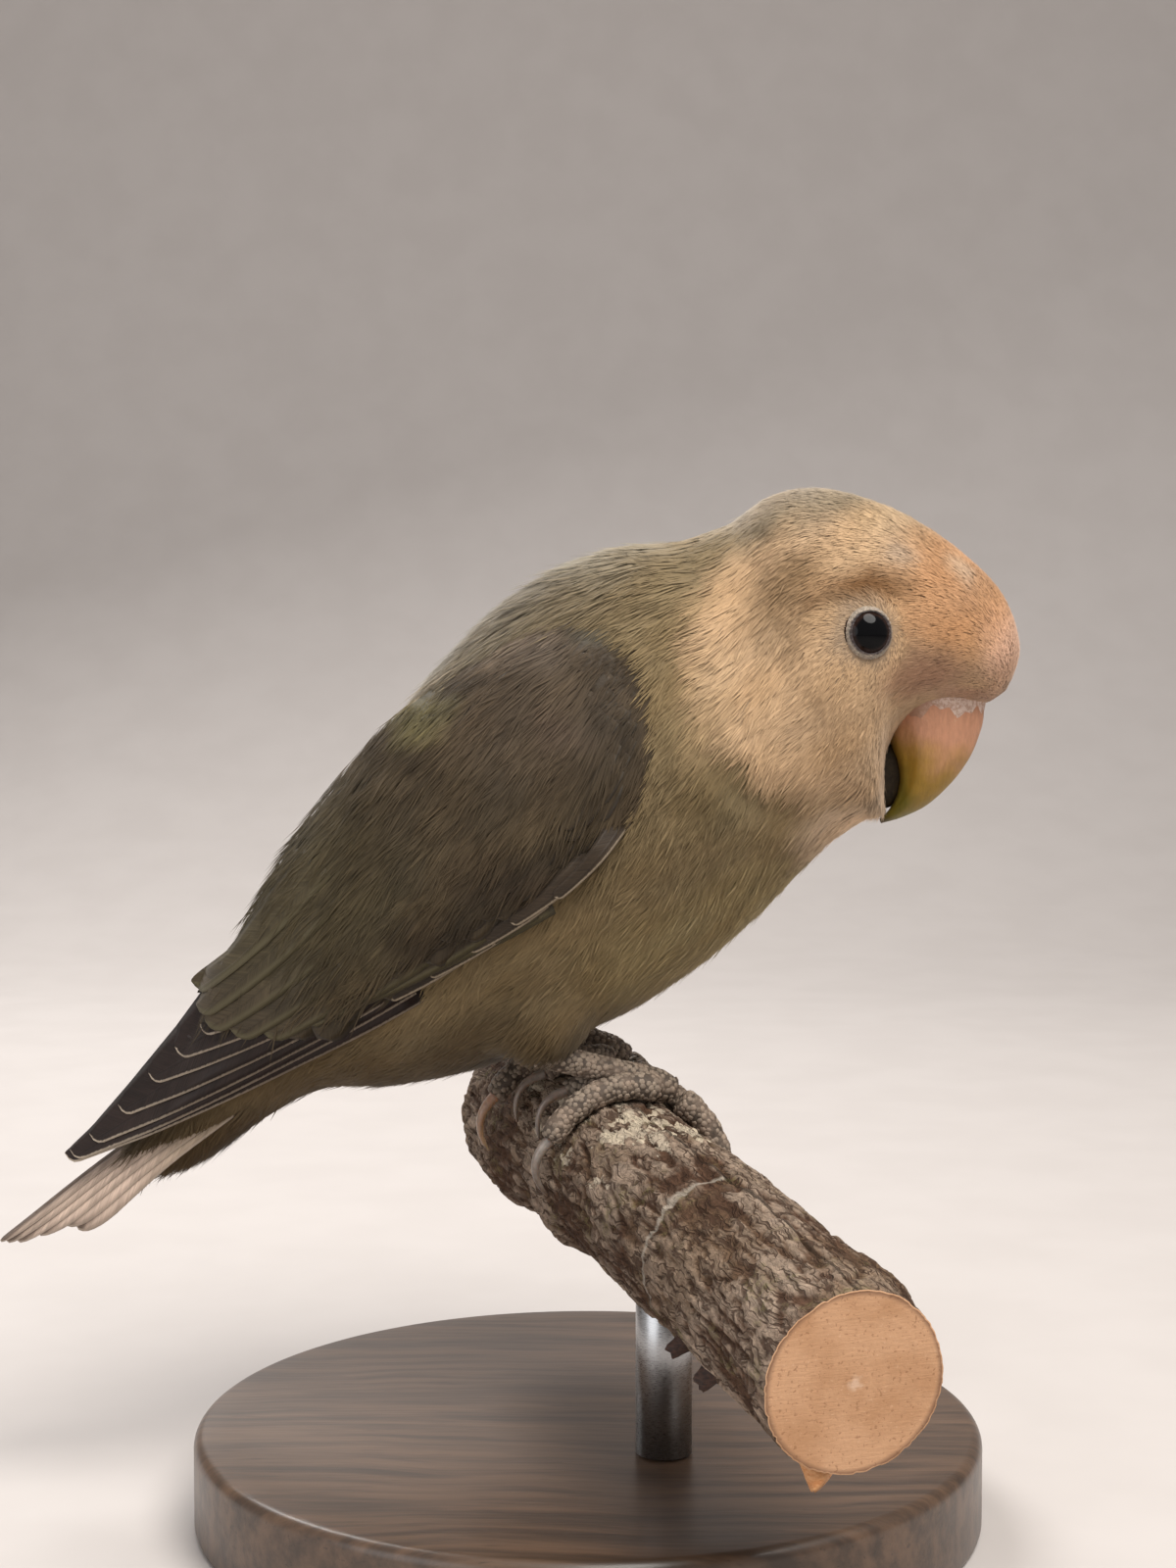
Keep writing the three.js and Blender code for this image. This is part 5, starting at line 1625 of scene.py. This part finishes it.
def foot_skin_material():
    """Pale grey-brown scales with dark seams between them."""
    n = Material("foot skin", 0.68, Specular_IOR_Level=0.3)
    fine = n.noise(n.place(), 2.6, 3.0, 0.6)
    look = n.laid((0.105, 0.080, 0.062), (0.245, 0.195, 0.150), n.attribute("scale_height"), 0.05, 0.85)
    look = n.laid(look, (0.25, 0.185, 0.14), n.noise(n.place(), 0.35, 3.0), 0.42, 0.62, 0.0, 0.6)
    look = n.vector("SCALE", look, n.math("MULTIPLY_ADD", n.attribute("tone"), 0.5, 0.78))
    return n.done(n.shade(look, fine, 0.82, 1.15), fine, 0.5, 0.12)


def claw_material():
    n = Material("claw", 0.3, Coat_Weight=0.3, Subsurface_Weight=0.2)
    t = n.attribute("tone")
    look = n.laid((0.25, 0.205, 0.180), (0.15, 0.115, 0.098), t, 0.0, 0.6)
    look = n.laid(look, (0.055, 0.035, 0.028), t, 0.7, 1.0)
    grain = n.noise(n.place(), 1.6, 3.0, 0.6)
    return n.done(n.shade(look, grain, 0.85, 1.2), grain, 0.2, 0.08)


foot_mat, claw_mat = foot_skin_material(), claw_material()


def scale_shape(name, material):
    """One low rounded scale, 1 across."""
    sides = 6
    levels = [(1.0, -0.15, 0.1), (0.78, 0.055, 1.0)]  # the share of its reach, the height and the tone
    a = round_angles(sides)
    points = [(0.5 * r * math.cos(x), 0.5 * r * math.sin(x), high) for r, high, _ in levels for x in a]
    points = np.array(points + [(0, 0, 0.09), (0, 0, -0.2)])
    faces = ring_faces(2, sides)
    for s in range(sides):
        n = (s + 1) % sides
        faces += [(sides + s, sides + n, 2 * sides), (n, s, 2 * sides + 1)]
    mesh = bare_mesh(name, points.tolist(), facing_out(points, faces), [material])
    thing = bpy.data.objects.new(name, mesh)
    paint(thing, "scale_height", [share for _, _, share in levels for _ in a] + [1.0, 0.0])
    return thing


def scale_tree(name, shape, material):
    """Covers a limb's surface with scales set close together."""
    n = Group(name, "GeometryNodeTree", {"Limb": "Geometry", "Seed": "Int"}, "Scaled Limb", "Geometry")
    limbs, seed = n.given["Limb"], n.given["Seed"]
    spread = n.add("GeometryNodeDistributePointsOnFaces", distribute_method="POISSON")
    for label, value in (("Mesh", limbs), ("Distance Min", SCALE_SPACING * MM), ("Density Max", 4.0e6),
                         ("Seed", seed)):
        n.put(spread, label, value)
    vary = n.add("FunctionNodeRandomValue", {"Min": 0.8, "Max": 1.25, "Seed": seed}, data_type="FLOAT")
    tone = n.add("FunctionNodeRandomValue", {
        "Min": 0.0, "Max": 1.0, "Seed": n.math("ADD", seed, 5.0)}, data_type="FLOAT")
    toned = n.add("GeometryNodeStoreNamedAttribute", {
        "Geometry": live(spread.outputs, "Points"), "Name": "tone"}, data_type="FLOAT", domain="POINT")
    n.put(toned, "Value", live(tone.outputs, "Value"))
    info = n.add("GeometryNodeObjectInfo", {"Object": shape, "As Instance": True})
    put = n.add("GeometryNodeInstanceOnPoints", {
        "Points": toned.outputs[0], "Instance": info.outputs["Geometry"],
        "Rotation": live(spread.outputs, "Rotation"),
        "Scale": n.math("MULTIPLY", live(vary.outputs, "Value"), SCALE_SIZE * MM)})
    both = n.add("GeometryNodeJoinGeometry")
    for part in (limbs, put.outputs[0]):
        n.put(both, 0, part)
    real = n.add("GeometryNodeRealizeInstances", {"Geometry": both.outputs[0]})
    dress = n.add("GeometryNodeSetMaterial", {"Geometry": real.outputs[0], "Material": material})
    return n.done(dress.outputs[0])


def over_bark(y, degrees, lift):
    """Points over the bark at places along the branch and degrees round it."""
    share = branch_share(y)
    return on_branch(share, degrees, bark_radius(share, degrees) + lift)


def joined_limbs(limbs):
    """Points and faces of several closed limbs as one."""
    pieces, faces, total = [], [], 0
    for grid in limbs:
        points, own_faces = closed_rings(grid)
        pieces.append(points)
        faces.extend(tuple(i + total for i in f) for f in own_faces)
        total += len(points)
    return np.concatenate(pieces), faces


def tarsus_rings(foot_y, ankle):
    share = branch_share(foot_y)
    high = bark_radius([share], [FOOT_ANGLE]) + TARSUS_RADIUS + 0.2
    joint = on_branch([share], [FOOT_ANGLE], high)[0]
    t = np.linspace(-0.15, 1.06, 24)
    line = np.array(ankle) + (joint - np.array(ankle)) * t[:, None]
    line[:, 2] += 0.7 * t * (1 - t)
    radius = TARSUS_RADIUS * np.interp(t, [-0.15, 0.2, 0.55, 0.9, 1.06], [0.85, 0.85, 0.92, 1.12, 0.8])
    return limb(line, radius, 18)


def toe_rings(hand, foot_y, start, end, size):
    """A toe over the bark, with pads and rings under its scales."""
    t = np.linspace(0, 1, 90)
    degrees, aside = (a + (b - a) * t for a, b in zip(start, end))
    line = over_bark(foot_y - hand * aside, degrees, TOE_RADIUS * size)
    reach = np.linalg.norm(np.diff(line, axis=0), axis=1).sum()
    rings = np.abs(np.sin(math.pi * reach / 1.3 * t)) ** 0.5
    pads = 0.93 + 0.11 * np.abs(np.sin(math.pi * reach / 3.4 * t)) ** 0.7 + 0.05 * rings
    radius = TOE_RADIUS * size * (0.96 - 0.16 * t) * pads
    radius[:3] *= [0.7, 0.9, 0.97]
    radius[-3:] *= [0.97, 0.88, 0.7]
    return limb(line, radius, 18)


def claw_rings(hand, foot_y, start, end, size, t, sides):
    """A claw that curves on over the bark from its toe's tip."""
    way = 1 if end[0] > start[0] else -1
    lift = TOE_RADIUS * size + 1.3 * np.sin(math.pi * t) - 1.5 * t
    line = over_bark(np.full(len(t), foot_y - hand * end[1]), end[0] + way * (0.5 + CLAW_TURN * t), lift)
    return limb(line, 0.14 + 0.66 * size * (1 - t) ** 0.75, sides)


def build_foot(side, hand, foot_y, ankle, seed):
    """A tarsus and four toes as one piece covered in scales, and the four claws as another."""
    toes = [toe_rings(hand, foot_y, *toe) for toe in TOES.values()]
    bare = make_mesh(f"foot_{side}_start", *joined_limbs([tarsus_rings(foot_y, ankle)] + toes), foot_mat)
    tree = scale_tree(f"foot {side} scales", scale_shape(f"foot_{side}_scale", foot_mat), foot_mat)
    foot = grown(bare, tree, {"Seed": seed})
    settle(foot, "foot_skin", f"tarsus_{side}", *(f"toe_{side}_{label}" for label in TOES))
    t, sides = np.linspace(0, 1, 26), 14
    claws = joined_limbs([claw_rings(hand, foot_y, *toe, t, sides) for toe in TOES.values()])
    piece = make_mesh(f"claws_{side}", *claws, claw_mat)
    paint(piece, "tone", np.tile(np.append(np.repeat(t, sides), [0, 1]), len(TOES)))
    settle(piece, "claw", *(f"claw_{side}_{label}" for label in TOES))


for leg, values in LEGS.items():
    build_foot(leg, *values)

# The stand

BASE_RADIUS, BASE_HEIGHT, BASE_BEVEL = 52.0, 12.0, 1.6


def stand_wood_material():
    n = Material("stained wood", 0.42, Coat_Weight=0.35, Coat_Roughness=0.25)
    place = n.place()
    bent = n.vector("ADD", place, n.vector("SCALE", (0, 14.0, 0), n.noise(place, 0.02, 2.0)))
    grain = n.noise(bent, 0.5, 5.0, 0.6, (0.07, 1.0, 0.6))
    pores = n.noise(place, 1.6, 3.0, 0.6, (0.08, 1.0, 1.0))
    look = n.laid((0.042, 0.024, 0.014), (0.115, 0.066, 0.038), grain, 0.3, 0.7)
    look = n.laid(look, (0.02, 0.011, 0.007), pores, 0.6, 0.72, 0.0, 0.6)
    return n.done(look, n.math("ADD", grain, pores), 0.18, 0.15)


def rod_material():
    n = Material("brushed rod", 0.3, Metallic=1.0)
    brush = n.noise(n.place(), 1.5, 4.0, 0.6, (1.0, 1.0, 14.0))
    n.put(n.shader, "Roughness", n.slope(brush, 0.3, 0.7, 0.24, 0.4))
    return n.done(n.laid((0.36, 0.36, 0.37), (0.52, 0.52, 0.52), brush, 0.3, 0.7), brush, 0.15, 0.05)


def round_piece(name, profile, middle, sides, material, node):
    """A turned piece round a point (x, y) of the row frame, from radii and heights."""
    x, y = middle[0], middle[1] - BIRD_Y
    a = round_angles(sides)
    grid = np.array([[(x + r * math.cos(b), y + r * math.sin(b), z) for b in a] for r, z in profile])
    settle(closed_piece(name, grid, material), node, node)


def build_base():
    """The turned disc, finer than its solid, with its rounded upper edge."""
    profile = [(BASE_RADIUS - 0.8, 0.0), (BASE_RADIUS - 0.2, 0.25), (BASE_RADIUS, 0.8),
               (BASE_RADIUS, BASE_HEIGHT - BASE_BEVEL)]
    for a in np.linspace(0, math.pi / 2, 7)[1:]:
        inward, down = BASE_BEVEL * (1 - math.cos(a)), BASE_BEVEL * (1 - math.sin(a))
        profile.append((BASE_RADIUS - inward, BASE_HEIGHT - down))
    profile += [(radius, BASE_HEIGHT) for radius in (BASE_RADIUS - 5, BASE_RADIUS * 0.5, 6)]
    round_piece("display_base", profile, (0, 0), 160, stand_wood_material(), "stand_base")


def build_rod():
    """The rod, where its solid is."""
    low, high = (np.array(corner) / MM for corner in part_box("stand_rod"))
    radius = (high[0] - low[0]) / 2
    profile = [(radius * 0.98, low[2]), (radius, low[2] + 0.01), (radius, high[2] - 0.01),
               (radius * 0.98, high[2])]
    round_piece("display_rod", profile, (low + high) / 2, 64, rod_material(), "stand_rod")


build_base()
build_rod()

# Floor, light and camera

FLOOR_FRONT, FLOOR_WIDTH, WALL_TOP, CURVE = -1.4, 5.0, 2.2, 0.5  # metres


def build_stage():
    """A pale floor that curves up into a pale wall."""
    profile = [(FLOOR_FRONT, 0.0), (CURVE, 0.0)]
    for a in np.linspace(0, math.pi / 2, 13)[1:]:
        profile.append((CURVE + CURVE * math.sin(a), CURVE - CURVE * math.cos(a)))
    profile.append((2 * CURVE, WALL_TOP))
    points = [(x, y, z) for y, z in profile for x in (-FLOOR_WIDTH / 2, FLOOR_WIDTH / 2)]
    faces = [(2 * i, 2 * i + 1, 2 * i + 3, 2 * i + 2) for i in range(len(profile) - 1)]
    n = Material("floor", 0.8)
    grain = n.noise(n.add("ShaderNodeTexCoord").outputs["Object"], 40.0, 3.0)
    material = n.done(n.laid((0.52, 0.485, 0.465), (0.54, 0.505, 0.485), grain, 0.3, 0.7))
    in_scene("floor", bare_mesh("floor", points, faces, [material]))


def area_light(name, place, aim, size, power, tint):
    data = bpy.data.lights.new(name, "AREA")
    data.shape = "DISK"
    data.size = size
    data.energy = power
    data.color = tint
    lamp = in_scene(name, data)
    lamp.location = place
    lamp.rotation_euler = (Vector(aim) - Vector(place)).to_track_quat("-Z", "Y").to_euler()


build_stage()
CENTRE = (0.0, BIRD_Y * MM, 0.085)
area_light("key", (0.20, -0.26, 0.62), CENTRE, 0.42, 5.2, (1.0, 0.96, 0.91))
area_light("fill", (-0.55, -0.50, 0.22), CENTRE, 0.6, 1.7, (0.95, 0.97, 1.0))
area_light("rim", (-0.25, 0.45, 0.55), CENTRE, 0.4, 4.0, (1.0, 0.98, 0.96))
world = bpy.data.worlds.new("studio")
world.use_nodes = True
sky = world.node_tree.nodes["Background"]
sky.inputs["Color"].default_value = (0.86, 0.82, 0.80, 1)
sky.inputs["Strength"].default_value = 0.46
bpy.context.scene.world = world
bpy.context.scene.view_settings.view_transform = "Standard"

lens = bpy.data.cameras.new("camera")
lens.lens = 54.0
lens.sensor_width = 36.0
camera = in_scene("camera", lens)
camera.location = (0.0, -0.30956, 0.11275)
camera.rotation_euler = (math.radians(87), 0, 0)
bpy.context.scene.camera = camera
